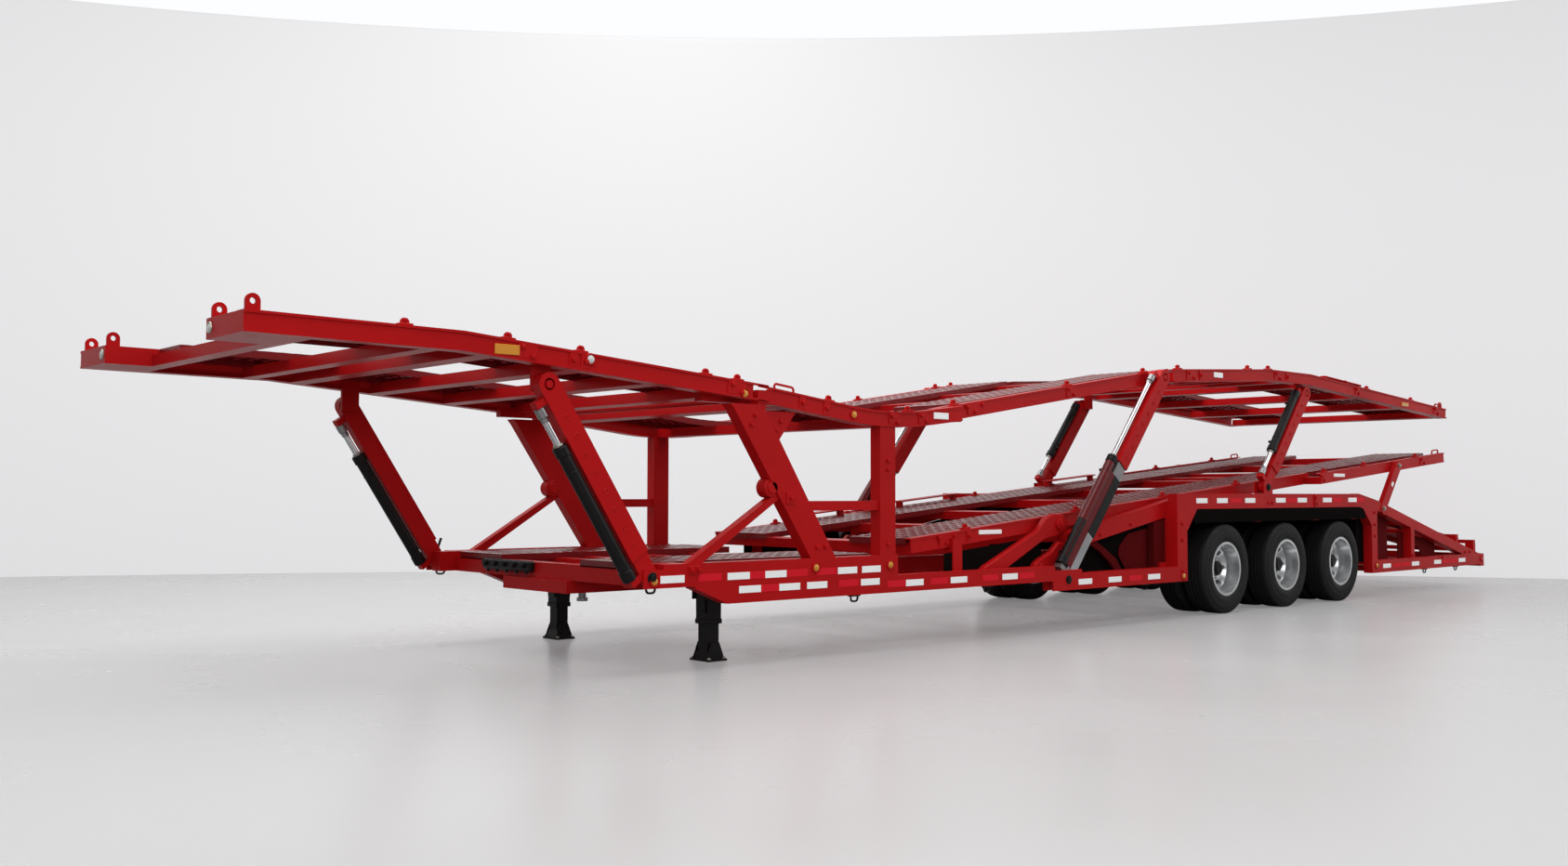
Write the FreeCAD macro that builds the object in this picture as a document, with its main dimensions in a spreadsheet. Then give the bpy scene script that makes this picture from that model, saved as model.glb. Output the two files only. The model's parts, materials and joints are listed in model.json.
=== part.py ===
# Car transporter semi-trailer: a three-axle, two-deck vehicle carrier standing on its landing legs.
#
# Frame: millimetres, +X to the rear, +Y to the trailer's right side, +Z up. The origin is on the
# ground, in the middle of the trailer's length and width. Heights are measured from the ground.
# Left and right members are made by one loop over SIDES. A member that slopes in the side view is
# a box turned about Y between two named points; its upper edge, centre line or lower edge is on them.
import FreeCAD, Part
import Sketcher
import math
import os
import re
import sys

doc = FreeCAD.newDocument("car_transporter_trailer")
dims = doc.addObject("Spreadsheet::Sheet", "Dims")

DIMENSIONS = [
    # name, value: overall sizes and the ends of the trailer
    ("half_width", 1300),
    ("front_end", -7066),
    ("tail_end", 7066),
    # front lower platform, its rails and the coupler under it
    ("platform_front", -4644),
    ("platform_rear", -2684),
    ("platform_nose", -4784),
    ("nose_width", 100),
    ("nose_lap", 200),
    ("platform_bottom", 504),
    ("platform_top", 640),
    ("rail_width", 90),
    ("cross_width", 100),
    ("cross_lap", 20),
    ("cross_start", 120),
    ("cross_pitch", 400),
    ("coupler_front", -4704),
    ("coupler_rear", -3384),
    ("coupler_width", 760),
    ("coupler_bottom", 424),
    ("kingpin_place", -4334),
    ("kingpin_radius", 25.4),
    ("kingpin_collar", 36.5),
    ("kingpin_drop", 84),
    ("kingpin_step", 21),
    ("kingpin_seat_gap", 0.5),
    # side beams between the platform and the wheels
    ("beam_front", -4414),
    ("beam_step", -964),
    ("sill_front", -644),
    ("beam_rear", 716),
    ("beam_bottom", 390),
    ("bevel_lap", 30),
    ("bevel_length", 280),
    ("bevel_room", 200),
    ("sill_bottom", 315),
    ("sill_top", 440),
    # wheel arch frames
    ("arch_post_front", 716),
    ("arch_post_width", 150),
    ("arch_rise_start", -664),
    ("arch_rise_height", 740),
    ("arch_flat_front", 1096),
    ("arch_flat_rear", 4016),
    ("arch_top", 1050),
    ("arch_bottom", 920),
    ("arch_rear_post", 4276),
    ("arch_rear_drop", 980),
    ("rise_outer", 1190),
    ("shoulder_depth", 60),
    ("shoulder_inset", 5),
    ("rear_post_width", 120),
    ("rear_post_drop", 60),
    ("corner_front_reach", 160),
    ("corner_rear_reach", 200),
    ("corner_drop", 190),
    # tail
    ("tail_bottom", 250),
    ("tail_rail_top", 377),
    ("tail_slope_end", 6846),
    ("tail_slope_low", 395),
    ("tail_slope_start", 4426),
    ("tail_slope_depth", 100),
    ("tail_slope_lap", 120),
    ("tail_strut", 5176),
    ("tail_strut_width", 80),
    ("tail_block", 100),
    ("tail_cross_drop", 20),
    ("tail_cross_depth", 140),
    ("tail_floor_rise", 10),
    ("tail_floor_depth", 60),
    ("tail_bar_width", 60),
    ("tail_bar_depth", 50),
    ("tail_bar_gap", 10),
    ("tail_bar_pitch", 500),
    ("tail_bar_low", 560),
    ("stand_lap", 30),
    ("tail_track_start", 4816),
    ("tail_track_high", 880),
    ("tail_track_end", 6876),
    ("tail_track_low", 560),
    # middle beams, axles and wheels
    ("spine_centre", 600),
    ("spine_width", 90),
    ("spine_bottom", 580),
    ("spine_top", 800),
    ("spine_front", 216),
    ("arch_cross_depth", 70),
    ("arch_cross_room", 60),
    ("hanger_reach", 30),
    ("floor_cross_depth", 50),
    ("floor_lap", 300),
    ("stand_wall", 30),
    ("stand_length", 100),
    ("first_axle", 1526),
    ("axle_pitch", 1060),
    ("tyre_radius", 393),
    ("tyre_width", 228),
    ("twin_pitch", 262),
    ("tread_inset", 26),
    ("shoulder_inset_tyre", 8),
    ("shoulder_drop", 22),
    ("crown_drop", 75),
    ("sidewall_inset", 6),
    ("bead_inset", 20),
    ("bead_rise", 20),
    ("rim_radius", 236),
    ("flange_height", 14),
    ("well_drop", 8),
    ("well_end", 20),
    ("well_start", 50),
    ("disc_radius", 146),
    ("disc_back_radius", 152),
    ("hand_hole_circle", 174),
    ("hand_hole_radius", 24),
    ("rim_wall", 9),
    ("wheel_outer", 1290),
    ("disc_wall", 14),
    ("hub_radius", 105),
    ("hub_length", 125),
    ("hub_bore_depth", 60),
    ("axle_end_gap", 60),
    ("spindle_end", 40),
    ("axle_radius", 62),
    ("spindle_radius", 40),
    ("spring_width", 76),
    ("spring_depth", 62),
    ("hanger_length", 120),
    ("hanger_lap", 40),
    ("hanger_gap", 5),
    # landing legs
    ("leg_place", -3959),
    ("leg_centre", 862),
    ("leg_outer", 112),
    ("leg_inner", 92),
    ("foot_length", 150),
    ("foot_width", 190),
    ("foot_wall", 12),
    ("foot_flare_height", 55),
    ("foot_flare_share", 0.9),
    ("leg_case_bottom", 230),
    ("leg_lap", 32),
    # fixed front portals that carry the upper deck
    ("post_foot_front", -3484),
    ("post_head_front", -4114),
    ("post_depth", 218),
    ("post_lean_gain", 30),
    ("gusset_reach", 520),
    ("gusset_low_reach", 350),
    ("gusset_low_start", 300),
    ("gusset_drop", 220),
    ("gusset_inset", 25),
    ("gusset_wall", 40),
    ("bar_inset", 15),
    ("bar_width", 60),
    ("bar_lap", 20),
    ("slope_lap", 10),
    ("brace_width", 110),
    ("brace_head_height", 1075),
    ("brace_head_front", 240),
    ("brace_head_rear", 160),
    ("portal_rear", -2854),
    ("portal_rear_depth", 146),
    ("portal_bar_height", 940),
    ("portal_bar_depth", 62),
    ("brace_foot", -4454),
    ("portal_head_drop", 35),
    # fixed bridge between the front deck and the rear deck
    ("bridge_front", -3784),
    ("bridge_front_top", 1700),
    ("bridge_low", -2774),
    ("bridge_low_top", 1600),
    ("bridge_rear", -2084),
    ("bridge_fall", 0.118),
    ("bridge_climb", 0.125),
    ("bend_reach", 420),
    ("deck_rail_depth", 105),
    ("deck_rail_wall", 10),
    ("cheek_drop", 45),
    ("cheek_depth", 90),
    ("cheek_front_reach", 45),
    ("cheek_lap", 40),
    ("cheek_rear_front", 70),
    ("cheek_rear_rear", 75),
    ("bridge_lap", 60),
    ("bridge_track_front", 60),
    ("bridge_track_rear", 230),
    # front upper deck
    ("front_hinge", -3884),
    ("front_rear", -3964),
    ("front_hinge_height", 1640),
    ("front_rear_top", 1726),
    ("front_bend", -5934),
    ("front_bend_top", 1888),
    ("front_tip_top", 1900),
    ("horn_length", 260),
    ("horn_width", 480),
    ("horn_lap", 40),
    ("hinge_arm_width", 60),
    ("hinge_arm_length", 330),
    ("hinge_arm_inset", 12),
    ("hinge_eye", 36),
    ("deck_end_gap", 20),
    # rear upper deck: a front leaf and a rear leaf
    ("mid_hinge", -2104),
    ("mid_hinge_height", 1600),
    ("mid_front", -2174),
    ("mid_front_top", 1650),
    ("mid_rear", 636),
    ("mid_rear_top", 2090),
    ("mid_rail_end", 110),
    ("mid_track_start", 330),
    ("mid_track_end", 40),
    ("mid_cross_start", 380),
    ("boss_reach", 45),
    ("boss_depth", 80),
    ("leaf_hinge", 716),
    ("leaf_hinge_height", 2020),
    ("leaf_front", 676),
    ("leaf_front_top", 2094),
    ("leaf_boss_reach", 39),
    ("leaf_boss_length", 100),
    ("leaf_crest_front", 2266),
    ("leaf_crest_rear", 3036),
    ("leaf_crest_top", 2190),
    ("leaf_rear", 6106),
    ("leaf_rear_top", 1985),
    ("inner_rail", 1190),
    # lower tilting deck over the wheels
    ("tilt_front", -2324),
    ("tilt_front_top", 735),
    ("tilt_rear", 6146),
    ("tilt_rear_top", 1505),
    ("tilt_hinge", -1864),
    ("tilt_hinge_height", 690),
    ("tilt_outer", 1080),
    ("tilt_step", 3306),
    ("tilt_step_length", 100),
    ("tilt_ear_width", 48),
    ("tilt_ear_reach", 45),
    ("tilt_ear_height", 75),
    ("tilt_pin_length", 55),
    # perforated wheel tracks
    ("track_outer", 1030),
    ("track_width", 560),
    ("track_depth", 36),
    ("track_wall", 6),
    # lifts: foot and head pins, and where each sleeve and barrel ends along the line between them
    ("front_lift_foot", -4724),
    ("front_lift_foot_height", 565),
    ("front_lift_head", -5414),
    ("front_lift_head_height", 1640),
    ("long_lift_foot", -794),
    ("long_lift_foot_height", 395),
    ("long_lift_head", 571),
    ("long_lift_head_height", 2020),
    ("rear_lift_foot", 2226),
    ("rear_lift_foot_height", 1110),
    ("rear_lift_head", 2986),
    ("rear_lift_head_drop", 80),
    ("sleeve_depth", 130),
    ("sleeve_width", 78),
    ("sleeve_wall", 7),
    ("stem_gap", 2),
    ("barrel_radius", 37),
    ("rod_radius", 20),
    ("lift_gap", 8),
    ("foot_round", 50),
    ("ear_wall", 12),
    ("lug_start", 20),
    ("lug_end", 60),
    ("head_lug_start", 85),
    ("head_lug_end", 45),
    ("front_sleeve_start", 150),
    ("long_sleeve_start", 1150),
    ("rear_sleeve_start", 210),
    ("front_barrel_end", 950),
    ("long_barrel_end", 1150),
    ("rear_barrel_end", 340),
    ("rod_overlap", 420),
    ("stem_end", 170),
    ("room_end", 75),
    ("barrel_cap", 60),
    ("ear_front", 60),
    ("ear_rear", 85),
    ("ear_rise", 45),
    ("pocket_rise", 75),
    ("pocket_lap", 20),
    ("saddle_reach", 75),
    ("saddle_rise", 50),
    ("head_ear_reach", 60),
    ("head_ear_drop", 40),
    ("head_ear_top", 30),
    ("head_pin_inset", 6),
    # support arms of the tilting deck
    ("support_foot", 4536),
    ("support_foot_height", 900),
    ("support_head", 4906),
    ("support_head_height", 1345),
    ("support_depth", 95),
    ("support_width", 45),
    ("support_gap", 5),
    ("support_swing_room", 22),
    ("support_room_length", 130),
    # loading ramps stowed in the tail
    ("ramp_front", 4896),
    ("ramp_front_top", 767),
    ("ramp_rear", 6996),
    ("ramp_rear_top", 441),
    ("ramp_depth", 50),
    ("ramp_width", 420),
    ("ramp_outer", 1000),
    ("ramp_lip", 40),
    ("shelf_depth", 40),
    ("shelf_width", 60),
    ("shelf_front", 5186),
    ("shelf_rear", 6616),
    # pins, eyes, clearances, and how far fused members and cutting tools run past a face
    ("pin_radius", 22),
    ("lug_bore", 15),
    ("lug_wall", 16),
    ("lug_rise", 45),
    ("lug_sink", 12),
    ("lug_place", 50),
    ("lug_inset", 20),
    ("lug_rear_place", 40),
    ("eye_wall", 14),
    ("fit_gap", 0.05),
    ("rod_gap", 0.2),
    ("seat_gap", 0.3),
    ("side_gap", 5),
    ("eye_gap", 12),
    ("ear_clear", 14),
    ("mid_rail_inset", 10),
    ("stand_drop", 10),
    ("bar_end_lap", 10),
    ("lap", 1),
]
WORD = r"\b(?:%s)\b" % "|".join(name for name, number in DIMENSIONS)
for row, (name, number) in enumerate(DIMENSIONS, 1):
    dims.set("A%d" % row, name)
    dims.set("B%d" % row, str(number))
    dims.setAlias("B%d" % row, name)
doc.recompute()

SIDES = ("left", "right")
nodes = {}


def value(text):
    """The number that an expression of sheet names gives, read from the sheet."""
    numbers = re.sub(WORD, lambda m: repr(float(getattr(dims, m.group(0)))), text)
    return FreeCAD.Units.parseQuantity(numbers).Value


def bind(thing, prop, text):
    """Tie a property to an expression of sheet names."""
    thing.setExpression(prop, re.sub(WORD, lambda m: "Dims." + m.group(0), text))


def new(kind, name):
    return doc.addObject(kind, name)


def span(side, outer, width):
    """Where a member starts in Y when its outer face is at `outer` and it is `width` wide."""
    return "-(%s)" % outer if side == "left" else "(%s) - (%s)" % (outer, width)


def block(name, corner, size):
    """A level box; corner and size are three expressions each."""
    box = new("Part::Box", name)
    for prop, text in zip(("Length", "Width", "Height"), size):
        bind(box, prop, text)
    for axis, text in zip("xyz", corner):
        bind(box, "Placement.Base." + axis, text)
    return box


def sloped(name, start, end, low, high, y_place, width, before="0", after="0"):
    """A box along the line start-end in the side view, from `low` to `high` across that line."""
    run = "((%s) - (%s))" % (end[0], start[0])
    rise = "((%s) - (%s))" % (end[1], start[1])
    reach = "sqrt(%s^2 + %s^2)" % (run, rise)
    box = new("Part::Box", name)
    box.Placement = FreeCAD.Placement(FreeCAD.Vector(), FreeCAD.Rotation(FreeCAD.Vector(0, -1, 0), 10))
    bind(box, "Length", "%s + %s + %s" % (reach, before, after))
    bind(box, "Width", width)
    bind(box, "Height", "(%s) - (%s)" % (high, low))
    bind(box, "Placement.Rotation.Angle", "atan2(%s; %s)" % (rise, run))
    bind(box, "Placement.Base.x", "(%s) - (%s)*%s/%s - (%s)*%s/%s" % (start[0], low, rise, reach, before,
                                                                      run, reach))
    bind(box, "Placement.Base.z", "(%s) + (%s)*%s/%s - (%s)*%s/%s" % (start[1], low, run, reach, before,
                                                                      rise, reach))
    bind(box, "Placement.Base.y", y_place)
    return box


def sloped_rod(name, start, end, offset, radius, y_place, before="0", after="0"):
    """A round bar along the line start-end, `offset` across it; before/after lengthen the ends."""
    run = "((%s) - (%s))" % (end[0], start[0])
    rise = "((%s) - (%s))" % (end[1], start[1])
    reach = "sqrt(%s^2 + %s^2)" % (run, rise)
    rod = new("Part::Cylinder", name)
    rod.Placement = FreeCAD.Placement(FreeCAD.Vector(), FreeCAD.Rotation(FreeCAD.Vector(0, 1, 0), 10))
    bind(rod, "Radius", radius)
    bind(rod, "Height", "%s + %s + %s" % (reach, before, after))
    bind(rod, "Placement.Rotation.Angle", "90 deg - atan2(%s; %s)" % (rise, run))
    bind(rod, "Placement.Base.x", "(%s) - (%s)*%s/%s - (%s)*%s/%s" % (start[0], offset, rise, reach, before,
                                                                      run, reach))
    bind(rod, "Placement.Base.z", "(%s) + (%s)*%s/%s - (%s)*%s/%s" % (start[1], offset, run, reach, before,
                                                                      rise, reach))
    bind(rod, "Placement.Base.y", y_place)
    return rod


def pin(name, centre, radius, y_from, length):
    """A round bar along Y."""
    rod = new("Part::Cylinder", name)
    rod.Placement = FreeCAD.Placement(FreeCAD.Vector(), FreeCAD.Rotation(FreeCAD.Vector(1, 0, 0), -90))
    bind(rod, "Radius", radius)
    bind(rod, "Height", length)
    for axis, text in zip("xyz", (centre[0], y_from, centre[1])):
        bind(rod, "Placement.Base." + axis, text)
    return rod


def upright(name, centre, radius, height):
    """A round bar along Z from a centre given by three expressions."""
    rod = new("Part::Cylinder", name)
    bind(rod, "Radius", radius)
    bind(rod, "Height", height)
    for axis, text in zip("xyz", centre):
        bind(rod, "Placement.Base." + axis, text)
    return rod


def cut(name, base, tool):
    result = new("Part::Cut", name)
    result.Base = base
    result.Tool = tool
    return result


def fuse(name, pieces):
    if len(pieces) == 1:
        return pieces[0]
    result = new("Part::MultiFuse", name)
    result.Shapes = pieces
    return result


def node(name, pieces):
    """Register one named sub-part made of the given pieces."""
    result = fuse(name, pieces)
    result.Label = name
    nodes[name] = result
    return result


def channel(name, start, end, low, high, side, outer, width, wall, before="0", after="0"):
    """A rail with a flat outer face and two flanges, open towards the middle of the trailer."""
    body = sloped(name + "_body", start, end, low, high, span(side, outer, width), width, before, after)
    inside = span(side, "(%s) - %s" % (outer, wall), width)
    hollow = sloped(name + "_hollow", start, end, "(%s) + %s" % (low, wall), "(%s) - %s" % (high, wall),
                    inside, width, "lap + " + before, "lap + " + after)
    return cut(name, body, hollow)


def tracks(name, start, end, lift="0", before="0", after="0"):
    """Two wheel tracks: shallow trays, open below, with their tops `lift` over the line start-end."""
    pieces = []
    for side in SIDES:
        label = "%s_%s" % (name, side)
        tray = sloped(label + "_tray", start, end, "%s - track_depth" % lift, lift,
                      span(side, "track_outer", "track_width"), "track_width", before, after)
        room = sloped(label + "_room", start, end, "%s - track_depth - lap" % lift,
                      "%s - track_wall" % lift,
                      span(side, "track_outer - track_wall", "track_width - 2*track_wall"),
                      "track_width - 2*track_wall", "%s + lap" % before, "%s + lap" % after)
        pieces.append(cut(label, tray, room))
    return pieces


def crossbar(name, place, bottom, depth, outer):
    """A level tube across the trailer between the faces at -outer and +outer."""
    return block(name, (place, "-(%s)" % outer, bottom), ("cross_width", "2*(%s)" % outer, depth))


def on_line(start, end, place):
    """Height of the line start-end at an X place, as an expression."""
    return "((%s) + ((%s) - (%s))*((%s) - (%s))/((%s) - (%s)))" % (
        start[1], end[1], start[1], place, start[0], end[0], start[0])


def outline(body, name, plane, points):
    """A closed sketch of straight lines; each point is a pair of expressions tied by constraints."""
    sketch = body.newObject("Sketcher::SketchObject", name)
    sketch.AttachmentSupport = [(next(f for f in body.Origin.OriginFeatures if f.Role == plane), "")]
    sketch.MapMode = "FlatFace"
    places = [(value(a), value(b)) for a, b in points]
    for count, (a, b) in enumerate(places):
        following = places[(count + 1) % len(places)]
        sketch.addGeometry(Part.LineSegment(FreeCAD.Vector(a, b, 0), FreeCAD.Vector(*following, 0)), False)
    for count in range(len(places)):
        sketch.addConstraint(Sketcher.Constraint("Coincident", count, 2, (count + 1) % len(places), 1))
    for count, pair in enumerate(points):
        for axis, text, number in zip("XY", pair, places[count]):
            label = "%s%d" % (axis.lower(), count)
            index = sketch.addConstraint(Sketcher.Constraint("Distance" + axis, -1, 1, count, 1, number))
            sketch.renameConstraint(index, label)
            bind(sketch, "Constraints." + label, text)
    return sketch


def plate(name, points, y_from, width):
    """A side-view outline padded along Y from y_from."""
    body = new("PartDesign::Body", name)
    sketch = outline(body, name + "_outline", "XZ_Plane", points)
    pad = body.newObject("PartDesign::Pad", name + "_pad")
    pad.Profile = sketch
    bind(pad, "Length", width)
    bind(body, "Placement.Base.y", "(%s) + (%s)" % (y_from, width))
    return body


def turned(name, points):
    """An outline of (radius, place along Y) points turned about the Y axis."""
    body = new("PartDesign::Body", name)
    sketch = outline(body, name + "_outline", "XY_Plane", points)
    turn = body.newObject("PartDesign::Revolution", name + "_turn")
    turn.Profile = sketch
    turn.ReferenceAxis = (sketch, ["V_Axis"])
    turn.Angle = 360
    return body


def reach(line):
    """Length of a line in the side view, as an expression."""
    return "sqrt(((%s) - (%s))^2 + ((%s) - (%s))^2)" % (line[1][0], line[0][0], line[1][1], line[0][1])


def part_of(line, first, last):
    """How much to lengthen a member along `line` so that it runs from `first` to `last` along it."""
    return "-(%s)" % first, "(%s) - %s" % (last, reach(line))


def spread(number, first, last):
    """Evenly spaced places from `first` to `last`, as expressions."""
    if number == 1:
        return [first]
    return ["(%s) + ((%s) - (%s))*%d/%d" % (first, last, first, k, number - 1) for k in range(number)]


def deck_cross(name, line, place, outer):
    """A cross tube that lies along the slope of a deck, `place` along its line, under the tracks."""
    return sloped(name, line[0], line[1], "-deck_rail_depth", "-track_depth", "-(%s)" % outer,
                  "2*(%s)" % outer,
                  *part_of(line, place, "(%s) + cross_width" % place))


def deck_crosses(name, runs, rows, outer):
    """Cross tubes of a deck; each row is a run, how many it has, and the first and last place along it."""
    pieces = []
    for run, number, first, last in rows:
        for place in spread(number, first, last):
            pieces.append(deck_cross("%s_cross_%d" % (name, len(pieces)), runs[run], place, outer))
    return pieces


def lug(name, centre, base, y_from, width):
    """An upright eye plate: a foot down to `base`, a round head and a bore along Y."""
    ring = "pin_radius + eye_wall"
    foot = block(name + "_foot", ("%s - (%s)" % (centre[0], ring), y_from, base),
                 ("2*(%s)" % ring, width, "%s - (%s)" % (centre[1], base)))
    solid = fuse(name + "_solid", [foot, pin(name + "_head", centre, ring, y_from, width)])
    return cut(name, solid, pin(name + "_bore", centre, "lug_bore", "%s - lap" % y_from,
                                "%s + 2*lap" % width))

# ---- lines of the decks in the side view: two or more named points, at the top of the rails ----
FRONT_DECK = (("front_end", "front_tip_top"), ("front_bend", "front_bend_top"),
              ("front_rear", "front_rear_top"))
MID_DECK = (("mid_front", "mid_front_top"), ("mid_rear", "mid_rear_top"))
LEAF_DECK = (("leaf_front", "leaf_front_top"), ("leaf_crest_front", "leaf_crest_top"),
             ("leaf_crest_rear", "leaf_crest_top"), ("leaf_rear", "leaf_rear_top"))
TILT_DECK = (("tilt_front", "tilt_front_top"), ("tilt_rear", "tilt_rear_top"))
TAIL_TRACK = (("tail_track_start", "tail_track_high"), ("tail_track_end", "tail_track_low"))
RISE = (("arch_rise_start", "arch_rise_height"), ("arch_flat_front", "arch_top"))
TAIL_SLOPE = (("tail_slope_start", "arch_rear_drop"), ("tail_slope_end", "tail_slope_low"))
RAMP = (("ramp_front", "ramp_front_top"), ("ramp_rear", "ramp_rear_top"))
SUPPORT = (("support_foot", "support_foot_height"), ("support_head", "support_head_height"))
PLATFORM = (("platform_front - cross_lap", "platform_top"), ("platform_rear", "platform_top"))

FRONT_HINGE = ("front_hinge", "front_hinge_height")
MID_HINGE = ("mid_hinge", "mid_hinge_height")
LEAF_HINGE = ("leaf_hinge", "leaf_hinge_height")
TILT_HINGE = ("tilt_hinge", "tilt_hinge_height")

# One row per pair of lifts: name, foot pin, head pin, where the sleeve and the barrel end along the
# line from foot to head, and which end carries the barrel.
LIFTS = (
    ("front_lift", ("front_lift_foot", "front_lift_foot_height"),
     ("front_lift_head", "front_lift_head_height"),
     "front_sleeve_start", "front_barrel_end", "foot"),
    ("long_lift", ("long_lift_foot", "long_lift_foot_height"), ("long_lift_head", "long_lift_head_height"),
     "long_sleeve_start", "long_barrel_end", "foot"),
    ("rear_lift", ("rear_lift_foot", "rear_lift_foot_height"),
     ("rear_lift_head", "leaf_crest_top - deck_rail_depth - rear_lift_head_drop"),
     "rear_sleeve_start", "rear_barrel_end", "head"),
)

OUTER_FACE = "half_width"
INNER_FACE = "half_width - rail_width"
EAR_ROOM = "(side_gap + sleeve_width - sleeve_wall - stem_gap + ear_clear + ear_wall)"
EAR_INNER = "half_width - " + EAR_ROOM
EAR_LINK = "(lap + abs(%s - rail_width))" % EAR_ROOM
POST_CAP = "front_hinge_height - cheek_drop - seat_gap"
PORTAL_HEAD = "(bridge_front_top - deck_rail_depth - portal_head_drop)"
CROSS_END = "half_width - rail_width + lap"
STEM_OUTER = "half_width - side_gap - sleeve_wall - stem_gap"
STEM_WIDTH = "(sleeve_width - 2*sleeve_wall - 2*stem_gap)"


def foot_ears(name, foot, side, bottom, top, reach_front, reach_rear):
    """Two plates that hold a lift's foot pin between them, and the pin."""
    pieces = []
    for place, outer in (("outer", OUTER_FACE), ("inner", EAR_INNER + " + ear_wall")):
        pieces.append(block("%s_ear_%s_%s" % (name, place, side),
                            ("%s - (%s)" % (foot[0], reach_front), span(side, outer, "ear_wall"), bottom),
                            ("(%s) + (%s)" % (reach_front, reach_rear), "ear_wall",
                             "(%s) - (%s)" % (top, bottom))))
    pieces.append(pin("%s_pin_%s" % (name, side), foot, "pin_radius", span(side, OUTER_FACE, EAR_ROOM),
                      EAR_ROOM))
    return pieces


def head_ear(name, head, side, top):
    """The plate that hangs from a deck rail beside a lift's head, and the head pin in it."""
    bottom = "%s - head_ear_drop" % head[1]
    link = "%s + sleeve_depth/2 + side_gap" % head[1]
    return [block("%s_ear_link_%s" % (name, side),
                  ("%s - head_ear_reach" % head[0], span(side, EAR_INNER + " + " + EAR_LINK, EAR_LINK), link),
                  ("2*head_ear_reach", EAR_LINK, "(%s) - (%s)" % (top, link))),
            block("%s_ear_%s" % (name, side),
                  ("%s - head_ear_reach" % head[0], span(side, EAR_INNER + " + ear_wall", "2*ear_wall"),
                   bottom),
                  ("2*head_ear_reach", "2*ear_wall", "(%s) - (%s)" % (top, bottom))),
            pin("%s_head_pin_%s" % (name, side), head, "pin_radius",
                span(side, OUTER_FACE + " - head_pin_inset", EAR_ROOM + " - head_pin_inset"),
                EAR_ROOM + " - head_pin_inset")]


# ---- front lower platform -------------------------------------------------------------------
platform = []
platform_depth = "(platform_top - platform_bottom)"
for side in SIDES:
    platform.append(block("platform_rail_" + side,
                          ("platform_front", span(side, OUTER_FACE, "rail_width"), "platform_bottom"),
                          ("platform_rear - platform_front", "rail_width", platform_depth)))
    platform.append(block("platform_horn_" + side,
                          ("platform_nose", span(side, EAR_INNER, "nose_width"), "platform_bottom"),
                          ("platform_front - platform_nose + nose_lap", "nose_width", platform_depth)))
    platform += foot_ears("front_lift_foot", LIFTS[0][1], side, "platform_bottom",
                          "front_lift_foot_height + ear_rise", "ear_front", "ear_rear")
platform_crosses = ("platform_front - cross_lap", "platform_front + cross_pitch",
                    "leg_place - cross_width/2",
                    "post_foot_front - cross_width/2", "platform_rear - cross_pitch")
for count, place in enumerate(platform_crosses):
    platform.append(crossbar("platform_cross_%d" % count, place, "platform_bottom",
                             platform_depth + " - track_depth", CROSS_END))
node("front_platform", platform)
node("platform_tracks", tracks("platform_track", *PLATFORM))

# ---- coupler: a flat box under the platform with the kingpin --------------------------------
coupler_box = block("coupler_box", ("coupler_front", "-coupler_width/2", "coupler_bottom"),
                    ("coupler_rear - coupler_front", "coupler_width", "platform_bottom - coupler_bottom"))
coupler_seat = upright("coupler_seat", ("kingpin_place", "0", "coupler_bottom - lap"),
                       "kingpin_collar + kingpin_seat_gap", "kingpin_step + lap")
node("coupler_frame", [cut("coupler_plate", coupler_box, coupler_seat)])
# One row per step of the kingpin: its name, how far it starts from the plate, its radius and height.
KINGPIN_STEPS = (
    ("neck", "-kingpin_drop", "kingpin_radius", "kingpin_drop + kingpin_step"),
    ("head", "-kingpin_drop", "kingpin_collar", "kingpin_step"),
    ("root", "0", "kingpin_collar", "kingpin_step"),
)
kingpin = []
for step, rise, radius, height in KINGPIN_STEPS:
    kingpin.append(upright("kingpin_" + step, ("kingpin_place", "0", "coupler_bottom + " + rise), radius,
                           height))
node("kingpin", kingpin)

# ---- side beams, with the pocket that holds the long lift's foot ----------------------------
for side in SIDES:
    y_place = span(side, OUTER_FACE, "rail_width")
    front = block("beam_front_" + side, ("beam_front", y_place, "beam_bottom"),
                  ("beam_step - beam_front", "rail_width", "platform_bottom - beam_bottom"))
    bevel = sloped("beam_bevel_" + side, ("beam_front - bevel_lap", "platform_bottom"),
                   ("beam_front - bevel_lap + bevel_length", "beam_bottom"), "-bevel_room", "0",
                   "-half_width - lap", "2*half_width + 2*lap", "bevel_lap", "bevel_lap")
    sill = block("beam_sill_" + side, ("sill_front", y_place, "sill_bottom"),
                 ("arch_post_front - sill_front", "rail_width", "sill_top - sill_bottom"))
    ears = foot_ears("long_lift_foot", LIFTS[1][1], side, "sill_bottom",
                     "long_lift_foot_height + pocket_rise",
                     "long_lift_foot - beam_step + pocket_lap", "sill_front - long_lift_foot + pocket_lap")
    node("side_beam_" + side, [cut("beam_bevelled_" + side, front, bevel), sill] + ears)

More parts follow.
